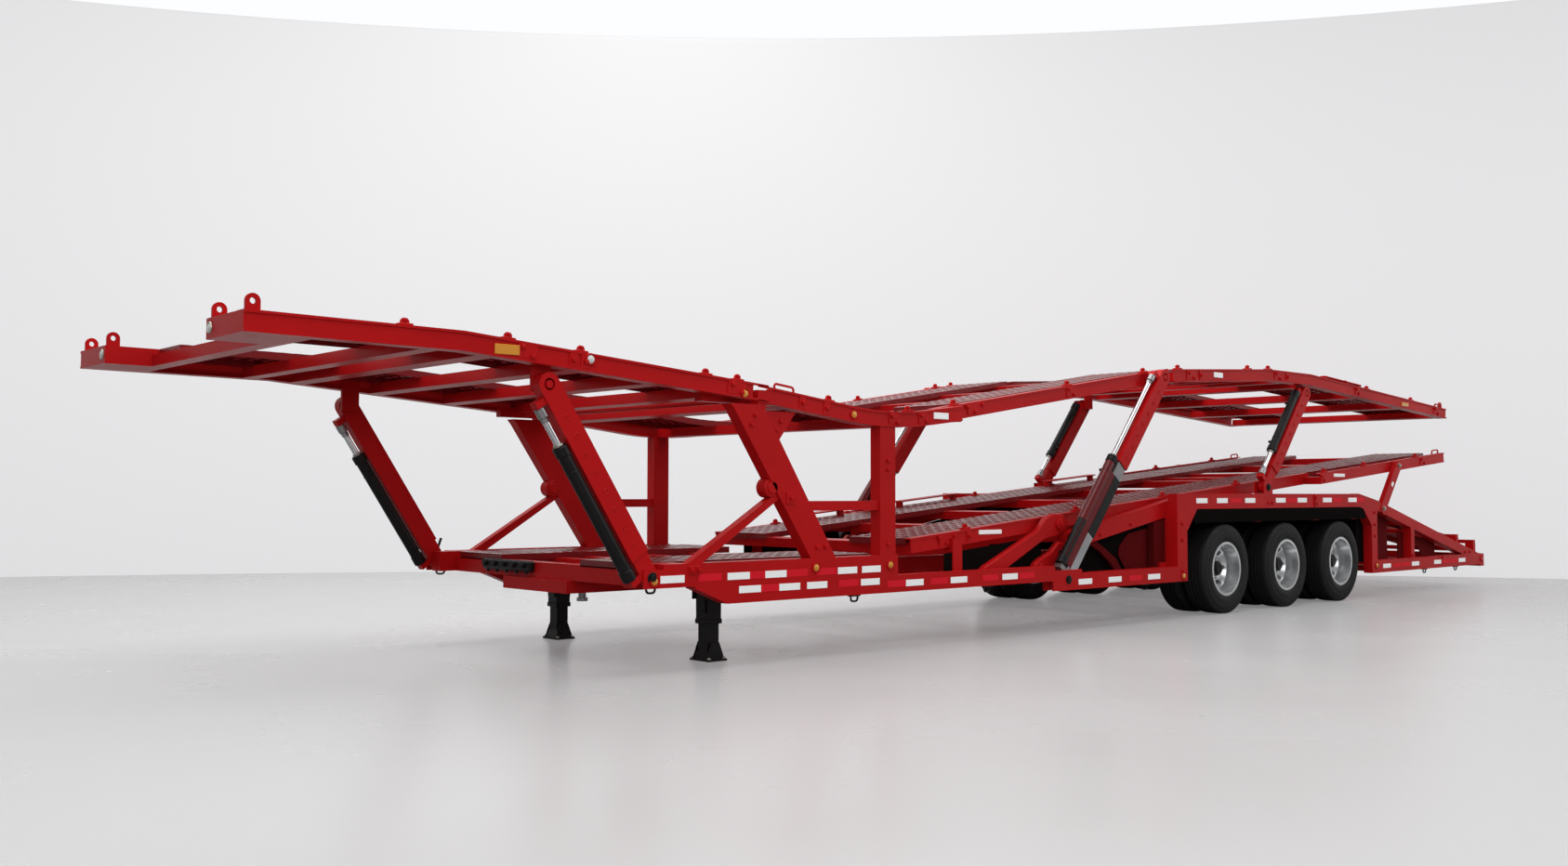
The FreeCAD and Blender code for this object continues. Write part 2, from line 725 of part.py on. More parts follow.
# ---- wheel arch frames: rise, flat with its corners, rear slope and tail slope --------------
arch_depth = "(arch_top - arch_bottom)"
shoulder_width = "(half_width - rise_outer + rail_width)"
for side in SIDES:
    outer = span(side, OUTER_FACE, "rail_width")
    strut_top = on_line(*TAIL_SLOPE, "tail_strut") + " - tail_slope_depth + lap"
    rear_post_height = "arch_rear_drop - tail_bottom - rear_post_drop"
    pieces = [
        sloped("arch_rise_" + side, *RISE, "-" + arch_depth, "0", span(side, "rise_outer", "rail_width"),
               "rail_width"),
        block("arch_front_post_" + side, ("arch_post_front", span(side, OUTER_FACE, shoulder_width),
                                          "sill_bottom"),
              ("arch_post_width", shoulder_width, "arch_bottom - sill_bottom + lap")),
        block("arch_flat_" + side, ("arch_post_front", outer, "arch_bottom"),
              ("arch_flat_rear - arch_post_front", "rail_width", arch_depth)),
        block("arch_shoulder_" + side,
              ("arch_post_front", span(side, "half_width - shoulder_inset",
                                       shoulder_width + " - rail_width + shoulder_inset"),
               "arch_bottom"),
              ("arch_flat_rear - arch_post_front", shoulder_width + " - rail_width + shoulder_inset",
               "shoulder_depth")),
        sloped("arch_rear_slope_" + side, ("arch_flat_rear", "arch_top"), TAIL_SLOPE[0], "-" + arch_depth,
               "0", outer,
               "rail_width", "slope_lap"),
        block("arch_rear_post_" + side, ("arch_rear_post", outer, "tail_bottom"),
              ("rear_post_width", "rail_width", rear_post_height)),
        sloped("tail_slope_" + side, *TAIL_SLOPE, "-tail_slope_depth", "0", outer, "rail_width", "0",
               "tail_slope_lap"),
        block("tail_strut_" + side, ("tail_strut", outer, "tail_rail_top"),
              ("tail_strut_width", "rail_width", "%s - tail_rail_top" % strut_top)),
    ]
    corners = (("front", "arch_post_front + arch_post_width - lap", "corner_front_reach"),
               ("rear", "arch_rear_post + lap", "-corner_rear_reach"))
    for corner, post_face, corner_reach in corners:
        points = ((post_face, "arch_bottom + lap"),
                  ("%s + %s" % (post_face, corner_reach), "arch_bottom + lap"),
                  (post_face, "arch_bottom - corner_drop"))
        pieces.append(plate("arch_corner_%s_%s" % (corner, side), points, outer, "rail_width"))
    pieces += foot_ears("rear_lift_foot", LIFTS[2][1], side, "arch_top - lap",
                        "rear_lift_foot_height + saddle_rise",
                        "saddle_reach", "saddle_reach")
    for count, place in enumerate(("tail_track_end - tail_bar_low", "tail_track_end - tail_block")):
        stand_top = "%s - track_depth - tail_bar_depth" % on_line(*TAIL_TRACK, place)
        stand_low = "%s - stand_lap" % on_line(*TAIL_SLOPE, place)
        pieces.append(block("tail_stand_%d_%s" % (count, side), (place, outer, stand_low),
                            ("tail_bar_width", "rail_width", "%s - (%s)" % (stand_top, stand_low))))
    # The low tail beam and the rear beam are pieces of their own, so the frame is cut back from them.
    y_room = span(side, "half_width + lap", "rail_width + 2*lap")
    rooms = [block("tail_beam_room_" + side, ("arch_rear_post + rear_post_width", y_room, "0"),
                   ("tail_end - arch_rear_post", "rail_width + 2*lap", "tail_rail_top")),
             block("tail_block_room_" + side, ("tail_end - tail_block", y_room, "0"),
                   ("tail_slope_lap + tail_block", "rail_width + 2*lap", "arch_top"))]
    pocket_face, pocket = span(side, OUTER_FACE + " + lap", "support_width + support_gap + lap"), \
        "support_width + support_gap + lap"
    rooms.append(pin("support_room_" + side, SUPPORT[0], "support_depth/2 + support_gap", pocket_face, pocket))
    rooms.append(sloped("support_swing_" + side, *SUPPORT, "-support_depth/2 - support_swing_room",
                        "support_depth/2 + support_swing_room", pocket_face, pocket,
                        *part_of(SUPPORT, "0", "support_room_length")))
    arch = cut("arch_trimmed_" + side, fuse("arch_all_" + side, pieces), fuse("arch_trim_" + side, rooms))
    node("arch_frame_" + side, [arch, pin("support_pin_" + side, SUPPORT[0], "pin_radius",
                                          span(side, OUTER_FACE, "support_width + support_gap + lap"),
                                          "support_width + support_gap + lap")])

# ---- middle beams and crossmembers ----------------------------------------------------------
middle = []
for side in SIDES:
    middle.append(block("spine_" + side,
                        ("spine_front", span(side, "spine_centre + spine_width/2", "spine_width"),
                         "spine_bottom"),
                        ("arch_rear_post - spine_front", "spine_width", "spine_top - spine_bottom")))
hanger_width = "half_width - rise_outer + hanger_reach"
arch_crosses = ("arch_post_front + cross_lap", "first_axle + axle_pitch/2 - cross_width/2",
                "first_axle + axle_pitch*3/2 - cross_width/2", "arch_flat_rear - cross_width - arch_cross_room")
for count, place in enumerate(arch_crosses):
    middle.append(crossbar("arch_cross_%d" % count, place, "spine_top - lap", "arch_cross_depth + lap",
                           "rise_outer - shoulder_inset"))
    for side in SIDES:
        middle.append(block("arch_hanger_%d_%s" % (count, side),
                            (place, span(side, "half_width - shoulder_inset", hanger_width),
                             "spine_top - lap"),
                            ("cross_width", hanger_width, "arch_bottom - spine_top + lap")))
post_rooms = [block("trim_" + side,
                    ("arch_post_front - lap", span(side, "half_width + lap", shoulder_width + " + lap"),
                     "0"),
                    ("arch_post_width + lap", shoulder_width + " + lap", "2*arch_top")) for side in SIDES]
node("middle_frame", [cut("middle_trimmed", fuse("middle_all", middle), fuse("middle_trim", post_rooms))])

floor_members = []
floor_crosses = ("coupler_rear", "(coupler_rear + tilt_hinge - stand_length/2)/2",
                 "tilt_hinge - stand_length/2",
                 "beam_step - cross_width - stand_wall", "beam_rear - cross_width - cross_lap")
for count, place in enumerate(floor_crosses):
    floor_members.append(crossbar("floor_cross_%d" % count, place, "coupler_bottom + lap",
                                  "floor_cross_depth",
                                  INNER_FACE))
for side in SIDES:
    y_place = span(side, "spine_centre + spine_width/2", "spine_width")
    floor_members.append(block("floor_beam_" + side, ("coupler_rear", y_place, "coupler_bottom"),
                               ("spine_front + floor_lap - coupler_rear", "spine_width",
                                "spine_bottom - coupler_bottom")))
    floor_members.append(block("tilt_stand_" + side,
                               ("tilt_hinge - stand_length/2",
                                span(side, "tilt_outer + stand_wall + side_gap + lap",
                                                                    "stand_wall"),
                                "coupler_bottom + floor_cross_depth"),
                               ("stand_length", "stand_wall",
                                "tilt_hinge_height - coupler_bottom - stand_drop")))
    floor_members.append(pin("tilt_pin_" + side, TILT_HINGE, "pin_radius",
                             span(side, "tilt_outer + side_gap + 2*lap", "tilt_pin_length"),
                             "tilt_pin_length"))
# The crosses stop short of the platform, whose members fill the room above them.
node("floor_frame", [cut("floor_trimmed", fuse("floor_all", floor_members),
                         block("floor_trim", ("coupler_front", "-half_width", "platform_bottom"),
                               ("platform_rear + cross_lap - coupler_front", "2*half_width",
                                "floor_lap")))])

# ---- axles and springs ----------------------------------------------------------------------
AXLES = ("front", "middle", "rear")
axles = []
springs = []
wheel_centre = "(wheel_outer - tyre_width/2 - twin_pitch/2)"
spring_seat = "(tyre_radius + axle_radius)"
for count in range(len(AXLES)):
    place = "(first_axle + %d*axle_pitch)" % count
    for part, radius, reach_out in (("axle", "axle_radius",
                                     wheel_centre + " - twin_pitch/2 - axle_end_gap"),
                                    ("spindle", "spindle_radius", wheel_centre + " + spindle_end")):
        axles.append(pin("%s_%d" % (part, count), (place, "tyre_radius"), radius, "-(%s)" % reach_out,
                         "2*(%s)" % reach_out))
    for side in SIDES:
        springs.append(block("spring_%d_%s" % (count, side),
                             ("%s - axle_pitch/2" % place,
                              span(side, "spine_centre + spring_width/2", "spring_width"),
                              spring_seat), ("axle_pitch", "spring_width", "spring_depth")))
for count in range(len(AXLES) + 1):
    for side in SIDES:
        springs.append(block("hanger_%d_%s" % (count, side),
                             ("first_axle + %d*axle_pitch - axle_pitch/2 - hanger_length/2" % count,
                              span(side, "spine_centre + spring_width/2 + hanger_gap",
                                   "spring_width + 2*hanger_gap"),
                              spring_seat + " - hanger_lap"),
                             ("hanger_length", "spring_width + 2*hanger_gap",
                              "spine_bottom - %s + hanger_lap" % spring_seat)))
node("axles", axles)
node("suspension", springs)

# ---- twin wheels: one tyre pair and one rim pair, copied to the six places ------------------
bead = "(tyre_width/2 - bead_inset)"
side_profile = (
    ("rim_radius - flange_height + seat_gap", bead),
    ("rim_radius + seat_gap", bead),
    ("rim_radius + bead_rise", "tyre_width/2 - sidewall_inset"),
    ("tyre_radius - crown_drop", "tyre_width/2"),
    ("tyre_radius - shoulder_drop", "tyre_width/2 - shoulder_inset_tyre"),
    ("tyre_radius", "tyre_width/2 - tread_inset"),
)
far_profile = tuple((radius, "-(%s)" % place) for radius, place in reversed(side_profile))
tyre = turned("tyre_half", side_profile + far_profile)
flange = "(tyre_width/2 - bead_inset + seat_gap)"
well = "rim_radius - flange_height - rim_wall"
rim = turned("rim_half", (
    ("rim_radius - flange_height", flange),
    ("rim_radius", flange),
    ("rim_radius", flange + " + rim_wall"),
    (well, flange + " + rim_wall"),
    (well + " - well_drop", "-well_end"),
    ("disc_radius", "-twin_pitch/2 + disc_wall"),
    ("spindle_radius + fit_gap", "-twin_pitch/2 + disc_wall"),
    ("spindle_radius + fit_gap", "-twin_pitch/2"),
    ("disc_back_radius", "-twin_pitch/2"),
    (well, "-well_start"),
    (well, "-%s - rim_wall" % flange),
    ("rim_radius", "-%s - rim_wall" % flange),
    ("rim_radius", "-" + flange),
    ("rim_radius - flange_height", "-" + flange),
))
doc.recompute()
HAND_HOLES = 8
for kind, half in (("tyre", tyre), ("rim", rim)):
    far_half = new("Part::Mirroring", kind + "_far_half")
    far_half.Source = half
    far_half.Normal = FreeCAD.Vector(0, 1, 0)
    pair = []
    for tag, member, shift in (("near", half, "twin_pitch/2"), ("far", far_half, "-twin_pitch/2")):
        moved = new("Part::Compound", "%s_%s" % (kind, tag))
        moved.Links = [member]
        bind(moved, "Placement.Base.y", shift)
        pair.append(moved)
    if kind == "rim":
        hub = pin("hub_drum", ("0", "0"), "hub_radius", "0", "hub_length")
        hub_bore = pin("hub_bore", ("0", "0"), "spindle_radius + fit_gap", "-lap", "hub_bore_depth")
        pair.append(cut("hub", hub, hub_bore))
        holes = []
        for hole in range(HAND_HOLES):
            turn = 2 * math.pi * hole / HAND_HOLES
            centre = ("hand_hole_circle*%r" % round(math.cos(turn), 6),
                      "hand_hole_circle*%r" % round(math.sin(turn), 6))
            holes.append(pin("hand_hole_%d" % hole, centre, "hand_hole_radius", "-twin_pitch/2",
                             "twin_pitch"))
        pair_shape = cut("rim_pair", fuse("rim_pair_solid", pair), fuse("hand_holes", holes))
    else:
        pair_shape = fuse("tyre_pair", pair)
    doc.recompute()
    for count, axle in enumerate(AXLES):
        for side in SIDES:
            copy = new("Part::Feature", "%s_%s_%s" % (kind, axle, side))
            copy.Shape = pair_shape.Shape.copy()
            half_turn = 180 if side == "left" else 0
            copy.Placement = FreeCAD.Placement(FreeCAD.Vector(),
                                               FreeCAD.Rotation(FreeCAD.Vector(0, 0, 1), half_turn))
            bind(copy, "Placement.Base.x", "first_axle + %d*axle_pitch" % count)
            bind(copy, "Placement.Base.y", ("-%s" if side == "left" else "%s") % wheel_centre)
            bind(copy, "Placement.Base.z", "tyre_radius")
            node("%ss_%s_axle_%s" % (kind, axle, side), [copy])

# ---- landing legs ---------------------------------------------------------------------------
def centred(width):
    """Where a piece of a leg starts in Y when it is centred on the leg of the current side."""
    return span(side, "leg_centre + (%s)/2" % width, width)


for side in SIDES:
    flare = new("Part::Wedge", "foot_flare_" + side)
    flare_sizes = (
        ("Xmin", "-foot_length*foot_flare_share/2"), ("Xmax", "foot_length*foot_flare_share/2"),
        ("Ymin", "0"), ("Ymax", "foot_flare_height"),
        ("Zmin", "-foot_width*foot_flare_share/2"), ("Zmax", "foot_width*foot_flare_share/2"),
        ("X2min", "-leg_inner/2"), ("X2max", "leg_inner/2"), ("Z2min", "-leg_inner/2"),
                   ("Z2max", "leg_inner/2"),
    )
    for prop, text in flare_sizes:
        bind(flare, prop, text)
    flare.Placement = FreeCAD.Placement(FreeCAD.Vector(), FreeCAD.Rotation(FreeCAD.Vector(1, 0, 0), 90))
    bind(flare, "Placement.Base.x", "leg_place")
    bind(flare, "Placement.Base.y", "-leg_centre" if side == "left" else "leg_centre")
    bind(flare, "Placement.Base.z", "foot_wall")
    node("landing_leg_" + side, [
        block("foot_plate_" + side, ("leg_place - foot_length/2", centred("foot_width"), "0"),
              ("foot_length", "foot_width", "foot_wall")),
        flare,
        block("leg_stem_" + side, ("leg_place - leg_inner/2", centred("leg_inner"), "foot_wall"),
              ("leg_inner", "leg_inner", "leg_case_bottom + leg_lap - foot_wall")),
        block("leg_case_" + side, ("leg_place - leg_outer/2", centred("leg_outer"), "leg_case_bottom"),
              ("leg_outer", "leg_outer", "platform_bottom - leg_case_bottom")),
    ])

# ---- fixed portals: inclined post, rear post, bar, brace and head gusset --------------------
for side in SIDES:
    outer = span(side, OUTER_FACE, "rail_width")
    y_bar = span(side, OUTER_FACE + " - bar_inset", "bar_width")
    post = plate("inclined_post_" + side,
                 (("post_foot_front", "platform_top"), ("post_foot_front + post_depth", "platform_top"),
                  ("post_head_front + post_depth + post_lean_gain", PORTAL_HEAD),
                  ("post_head_front + post_depth + post_lean_gain", POST_CAP),
                  ("post_head_front - post_lean_gain", POST_CAP),
                  ("post_head_front", PORTAL_HEAD)),
                 outer, "rail_width")
    gusset = plate("post_gusset_" + side,
                   (("post_head_front + post_depth", PORTAL_HEAD),
                    ("post_head_front + gusset_reach", PORTAL_HEAD),
                    ("post_head_front + gusset_low_reach", PORTAL_HEAD + " - gusset_drop"),
                    ("post_head_front + gusset_low_start", PORTAL_HEAD + " - gusset_drop")),
                   span(side, OUTER_FACE + " - gusset_inset", "gusset_wall"), "gusset_wall")
    rear_post = block("portal_rear_post_" + side, ("portal_rear", outer, "platform_top"),
                      ("portal_rear_depth", "rail_width",
                       "bridge_low_top - deck_rail_depth - platform_top - seat_gap"))
    bar = block("portal_bar_" + side, ("post_foot_front - bar_lap", y_bar, "portal_bar_height"),
                ("portal_rear - post_foot_front + bar_lap + bar_end_lap", "bar_width", "portal_bar_depth"))
    brace = plate("portal_brace_" + side,
                  (("brace_foot", "platform_top"), ("brace_foot + brace_width", "platform_top"),
                   ("post_foot_front - brace_head_rear", "brace_head_height"),
                   ("post_foot_front - brace_head_front", "brace_head_height")),
                  y_bar, "bar_width")
    node("portal_" + side, [post, gusset, rear_post, bar, brace])


# ---- bridge: the fixed part of the upper deck, with one gentle bend -------------------------
def bend(shift, low_end, high_end):
    """Edge of the bridge in the side view: straight, an arc, straight, `shift` above the rail's top."""
    low, low_top, arc_reach = dims.bridge_low, dims.bridge_low_top + shift, dims.bend_reach
    start_top = dims.bridge_front_top + shift

    def falling(place):
        return FreeCAD.Vector(place, 0, start_top - (place - dims.bridge_front) * dims.bridge_fall)

    arc_end = FreeCAD.Vector(low + arc_reach, 0, low_top + arc_reach * dims.bridge_climb / 2)
    rear = FreeCAD.Vector(high_end, 0, arc_end.z + (high_end - arc_end.x) * dims.bridge_climb)
    return falling(low_end), falling(low - arc_reach), FreeCAD.Vector(low, 0, low_top), arc_end, rear


def band(name, top_shift, low_shift, x_from, x_to, y_from, width):
    """A bent strip between two edges of the bridge, `width` wide along Y."""
    top = bend(value(top_shift), value(x_from), value(x_to))
    low = bend(value(low_shift), value(x_from), value(x_to))
    edges = [Part.makeLine(top[0], top[1]), Part.Arc(*top[1:4]).toShape(), Part.makeLine(top[3], top[4]),
             Part.makeLine(top[4], low[4]), Part.makeLine(low[4], low[3]), Part.Arc(*low[3:0:-1]).toShape(),
             Part.makeLine(low[1], low[0]), Part.makeLine(low[0], top[0])]
    strip = new("Part::Feature", name)
    strip.Shape = Part.Face(Part.Wire(edges)).extrude(FreeCAD.Vector(0, value(width), 0))
    bind(strip, "Placement.Base.y", y_from)
    return strip


# One row per cheek of the bridge: end, hinge, and where it starts and ends in X.
CHEEKS = (
    ("front", FRONT_HINGE, "front_hinge - cheek_front_reach", "bridge_front + cheek_lap"),
    ("rear", MID_HINGE, "mid_hinge - cheek_rear_front", "mid_hinge + cheek_rear_rear"),
)
bridge = []
bridge_tracks = []
for side in SIDES:
    outer = span(side, OUTER_FACE, "rail_width")
    rail = band("bridge_rail_body_" + side, "0", "-deck_rail_depth", "bridge_front",
                "bridge_rear + bridge_lap",
                outer, "rail_width")
    room = band("bridge_rail_room_" + side, "-deck_rail_wall", "deck_rail_wall - deck_rail_depth",
                "bridge_front - lap", "bridge_rear + bridge_lap + lap",
                span(side, OUTER_FACE + " - deck_rail_wall", "rail_width"), "rail_width")
    bridge.append(cut("bridge_rail_" + side, rail, room))
    for end, hinge, x_from, x_to in CHEEKS:
        bridge.append(block("bridge_cheek_%s_%s" % (end, side),
                            (x_from, outer, "%s - cheek_drop" % hinge[1]),
                            ("(%s) - (%s)" % (x_to, x_from), "rail_width", "cheek_depth")))
    strip = band("bridge_track_body_" + side, "0", "-track_depth", "bridge_front + bridge_track_front",
                 "bridge_rear - bridge_track_rear", span(side, "track_outer", "track_width"), "track_width")
    under = band("bridge_track_room_" + side, "-track_wall", "-track_depth - lap",
                 "bridge_front + bridge_track_front - lap", "bridge_rear - bridge_track_rear + lap",
                 span(side, "track_outer - track_wall", "track_width - 2*track_wall"),
                 "track_width - 2*track_wall")
    bridge_tracks.append(cut("bridge_track_" + side, strip, under))
BEND_END = ("bridge_low + bend_reach", "bridge_low_top + bend_reach*bridge_climb/2")
# One row per cross of the bridge: a line that it lies along, and its place from the line's start.
BRIDGE_CROSSES = (
    (("bridge_front", "bridge_front_top"), ("bridge_low",
                                            "bridge_front_top - (bridge_low - bridge_front)*bridge_fall"),
     "bridge_track_front"),
    (("bridge_low", "bridge_low_top"), ("bridge_rear", "bridge_low_top"), "-cross_width/2"),
    (BEND_END, ("bridge_rear", BEND_END[1] + " + (bridge_rear - bridge_low - bend_reach)*bridge_climb"),
     "-cross_width/2"),
)
for count, (start, end, place) in enumerate(BRIDGE_CROSSES):
    bridge.append(deck_cross("bridge_cross_%d" % count, (start, end), place, CROSS_END))
for end, hinge, x_from, x_to in CHEEKS:
    bridge.append(pin("bridge_shaft_" + end, hinge, "pin_radius", "-(%s)" % CROSS_END,
                      "2*(%s)" % CROSS_END))
node("bridge_frame", bridge)
node("bridge_tracks", bridge_tracks)

# ---- front upper deck -----------------------------------------------------------------------
front_runs = list(zip(FRONT_DECK[:-1], FRONT_DECK[1:]))
front_deck = []
for side in SIDES:
    for count, run in enumerate(front_runs):
        front_deck.append(channel("front_deck_rail_%d_%s" % (count, side), *run, "-deck_rail_depth", "0",
                                  side,
                                  OUTER_FACE, "rail_width", "deck_rail_wall"))
    front_deck.append(sloped("front_deck_horn_" + side, *front_runs[0], "-deck_rail_depth", "-lap",
                             span(side, OUTER_FACE + " - lap", "horn_width"), "horn_width",
                             *part_of(front_runs[0], "0", "horn_length + horn_lap")))
    front_deck += head_ear("front_lift", LIFTS[0][2], side,
                           "%s - head_ear_drop" % on_line(*front_runs[1], "front_lift_head"))
    ear_outer = INNER_FACE + " - hinge_arm_inset"
    ear = fuse("front_hinge_ear_solid_" + side, [
        block("front_hinge_arm_" + side, ("front_rear - hinge_arm_length", span(side, ear_outer,
                                                                                "hinge_arm_width"),
                                          "front_hinge_height - hinge_eye"),
              ("front_hinge - front_rear + hinge_arm_length", "hinge_arm_width", "2*hinge_eye")),
        pin("front_hinge_eye_" + side, FRONT_HINGE, "hinge_eye", span(side, ear_outer, "hinge_arm_width"),
            "hinge_arm_width")])
    front_deck.append(cut("front_hinge_ear_" + side, ear,
                          pin("front_hinge_bore_" + side, FRONT_HINGE, "pin_radius + fit_gap",
                              span(side, ear_outer + " + lap", "hinge_arm_width + 2*lap"),
                              "hinge_arm_width + 2*lap")))
    lug_x = "front_end + lug_place"
    lug_top = on_line(*front_runs[0], lug_x)
    for place, lug_face in (("outer", OUTER_FACE + " - lug_inset"),
                            ("inner", OUTER_FACE + " - horn_width + lug_inset + lug_wall")):
        front_deck.append(lug("front_lug_%s_%s" % (place, side), (lug_x, lug_top + " + lug_rise"),
                              lug_top + " - lug_sink", span(side, lug_face, "lug_wall"), "lug_wall"))
# One row per run of the deck: how many crosses, and the places of the first and the last along it.
FRONT_CROSSES = ((0, 2, "horn_length", reach(front_runs[0]) + " - 2*cross_width"),
                 (1, 4, "cross_start", reach(front_runs[1]) + " - 2*cross_width"))
front_deck += deck_crosses("front_deck", front_runs, FRONT_CROSSES, CROSS_END)
node("front_deck_frame", front_deck)
node("front_deck_tracks",
     tracks("front_track_0", *front_runs[0], "0",
            *part_of(front_runs[0], "horn_length + horn_lap", reach(front_runs[0])))
     + tracks("front_track_1", *front_runs[1], "0", *part_of(front_runs[1], "0",
                                                            reach(front_runs[1]) + " - deck_end_gap")))

# ---- rear upper deck: front leaf ------------------------------------------------------------
mid_runs = [MID_DECK]
mid_width = "(rail_width - mid_rail_inset)"
mid_deck = []
for side in SIDES:
    rail = channel("mid_deck_rail_body_" + side, *MID_DECK, "-deck_rail_depth", "0", side, "inner_rail",
                   mid_width, "deck_rail_wall", "0", "mid_rail_end")
    web = block("mid_deck_boss_" + side,
                ("mid_hinge - boss_reach", span(side, "inner_rail", mid_width),
                 "mid_hinge_height - boss_depth/2"),
                ("2*boss_reach", mid_width, "boss_depth"))
    bore = pin("mid_hinge_bore_" + side, MID_HINGE, "pin_radius + fit_gap",
               span(side, "inner_rail + lap", "rail_width + 2*lap"), "rail_width + 2*lap")
    mid_deck.append(cut("mid_deck_rail_" + side, fuse("mid_deck_rail_solid_" + side, [rail, web]), bore))
    mid_deck.append(pin("long_lift_head_pin_" + side, LIFTS[1][2], "pin_radius",
                        span(side, OUTER_FACE + " - head_pin_inset", "half_width - inner_rail"),
                        "half_width - inner_rail"))
mid_deck.append(pin("leaf_shaft", LEAF_HINGE, "pin_radius", "-half_width + lap", "2*half_width - 2*lap"))
MID_CROSSES = ((0, 4, "mid_cross_start", reach(MID_DECK) + " - cross_start"),)
mid_deck += deck_crosses("mid_deck", mid_runs, MID_CROSSES, "inner_rail - deck_rail_wall + lap")
node("mid_deck_frame", mid_deck)
mid_track_line = part_of(MID_DECK, "mid_track_start", reach(MID_DECK) + " + mid_track_end")
node("mid_deck_tracks", tracks("mid_deck_track", *MID_DECK, "0", *mid_track_line))

# ---- rear upper deck: rear leaf -------------------------------------------------------------
leaf_runs = list(zip(LEAF_DECK[:-1], LEAF_DECK[1:]))
leaf = []
leaf_tracks = []
for side in SIDES:
    outer = span(side, OUTER_FACE, "rail_width")
    rails = []
    for count, run in enumerate(leaf_runs):
        rails.append(channel("leaf_rail_%d_%s" % (count, side), *run, "-deck_rail_depth", "0", side,
                             OUTER_FACE,
                             "rail_width", "deck_rail_wall"))
    rails.append(block("leaf_hinge_boss_" + side,
                       ("leaf_hinge - leaf_boss_reach", outer, "leaf_hinge_height - hinge_eye"),
                       ("leaf_boss_length", "rail_width", "boss_depth")))
    bore = pin("leaf_hinge_bore_" + side, LEAF_HINGE, "pin_radius + fit_gap",
               span(side, OUTER_FACE + " + lap", "rail_width + 2*lap"), "rail_width + 2*lap")
    leaf.append(cut("leaf_rails_" + side, fuse("leaf_rails_solid_" + side, rails), bore))
    leaf += head_ear("rear_lift", LIFTS[2][2], side, "leaf_crest_top - head_ear_drop - head_ear_top")
    lug_x = "leaf_rear - lug_rear_place"
    lug_top = on_line(*leaf_runs[2], lug_x)
    leaf.append(lug("rear_lug_" + side, (lug_x, lug_top + " + pin_radius + eye_wall"),
                    lug_top + " - lug_sink",
                    span(side, OUTER_FACE + " - lug_rear_place", "lug_wall"), "lug_wall"))
LEAF_CROSSES = ((0, 3, "cross_start", reach(leaf_runs[0]) + " - 2*cross_width"),
                (1, 1, "3*cross_width", "3*cross_width"),
                (2, 4, "cross_start", reach(leaf_runs[2]) + " - cross_start"))
leaf_crosses = deck_crosses("leaf", leaf_runs, LEAF_CROSSES, INNER_FACE)
for count, run in enumerate(leaf_runs):
    first = "cross_start" if count == 0 else "0"
    last = reach(run) + (" - deck_end_gap" if count == 2 else "")
    leaf_tracks += tracks("leaf_track_%d" % count, *run, "0", *part_of(run, first, last))
node("leaf_deck_frame", leaf)
node("leaf_deck_crosses", leaf_crosses)
node("leaf_deck_tracks", leaf_tracks)

# ---- lower tilting deck ---------------------------------------------------------------------
tilt = []
tilt_rail_width = "tilt_outer - track_outer - lap"
TILT_REAR_OUTER = "half_width - support_width - support_gap"
TILT_STEP = "(%s*(tilt_step - tilt_front)/(tilt_rear - tilt_front))" % reach(TILT_DECK)
for side in SIDES:
    rail = channel("tilt_rail_body_" + side, *TILT_DECK, "-deck_rail_depth", "0", side, "tilt_outer",
                   tilt_rail_width, "deck_rail_wall",
                   *part_of(TILT_DECK, "0", TILT_STEP + " + tilt_step_length"))
    ear = block("tilt_ear_" + side,
                ("tilt_hinge - tilt_ear_reach", span(side, "tilt_outer", "tilt_ear_width"),
                 "tilt_hinge_height - tilt_ear_reach"),
                ("2*tilt_ear_reach", "tilt_ear_width", "tilt_ear_height"))
    bore = pin("tilt_bore_" + side, TILT_HINGE, "pin_radius + fit_gap",
               span(side, "tilt_outer + lap", "tilt_pin_length"), "tilt_pin_length")
    tilt.append(cut("tilt_rail_" + side, fuse("tilt_rail_solid_" + side, [rail, ear]), bore))
    tilt.append(channel("tilt_rear_rail_" + side, *TILT_DECK, "-deck_rail_depth", "0", side, TILT_REAR_OUTER,
                        tilt_rail_width, "deck_rail_wall",
                        *part_of(TILT_DECK, TILT_STEP, reach(TILT_DECK))))
# One row per group of crosses: how many, the places of the first and the last, and how wide they are.
TILT_CROSSES = (((0, 6, "cross_lap", TILT_STEP + " - 4*cross_width"),), "tilt_outer - deck_rail_wall + lap"), \
    (((0, 3, TILT_STEP + " + 5*cross_width", reach(TILT_DECK) + " - cross_start"),),
     TILT_REAR_OUTER + " - deck_rail_wall + lap")
for count, (rows, outer) in enumerate(TILT_CROSSES):
    tilt += deck_crosses("tilt_%d" % count, [TILT_DECK], rows, outer)
tilt.append(sloped("tilt_step_cross", *TILT_DECK, "-deck_rail_depth", "-track_depth",
                   "-(%s)" % TILT_REAR_OUTER, "2*(%s)" % TILT_REAR_OUTER,
                   *part_of(TILT_DECK, TILT_STEP, TILT_STEP + " + tilt_step_length")))
node("tilt_deck_frame", tilt)
node("tilt_deck_tracks", tracks("tilt_track", *TILT_DECK))

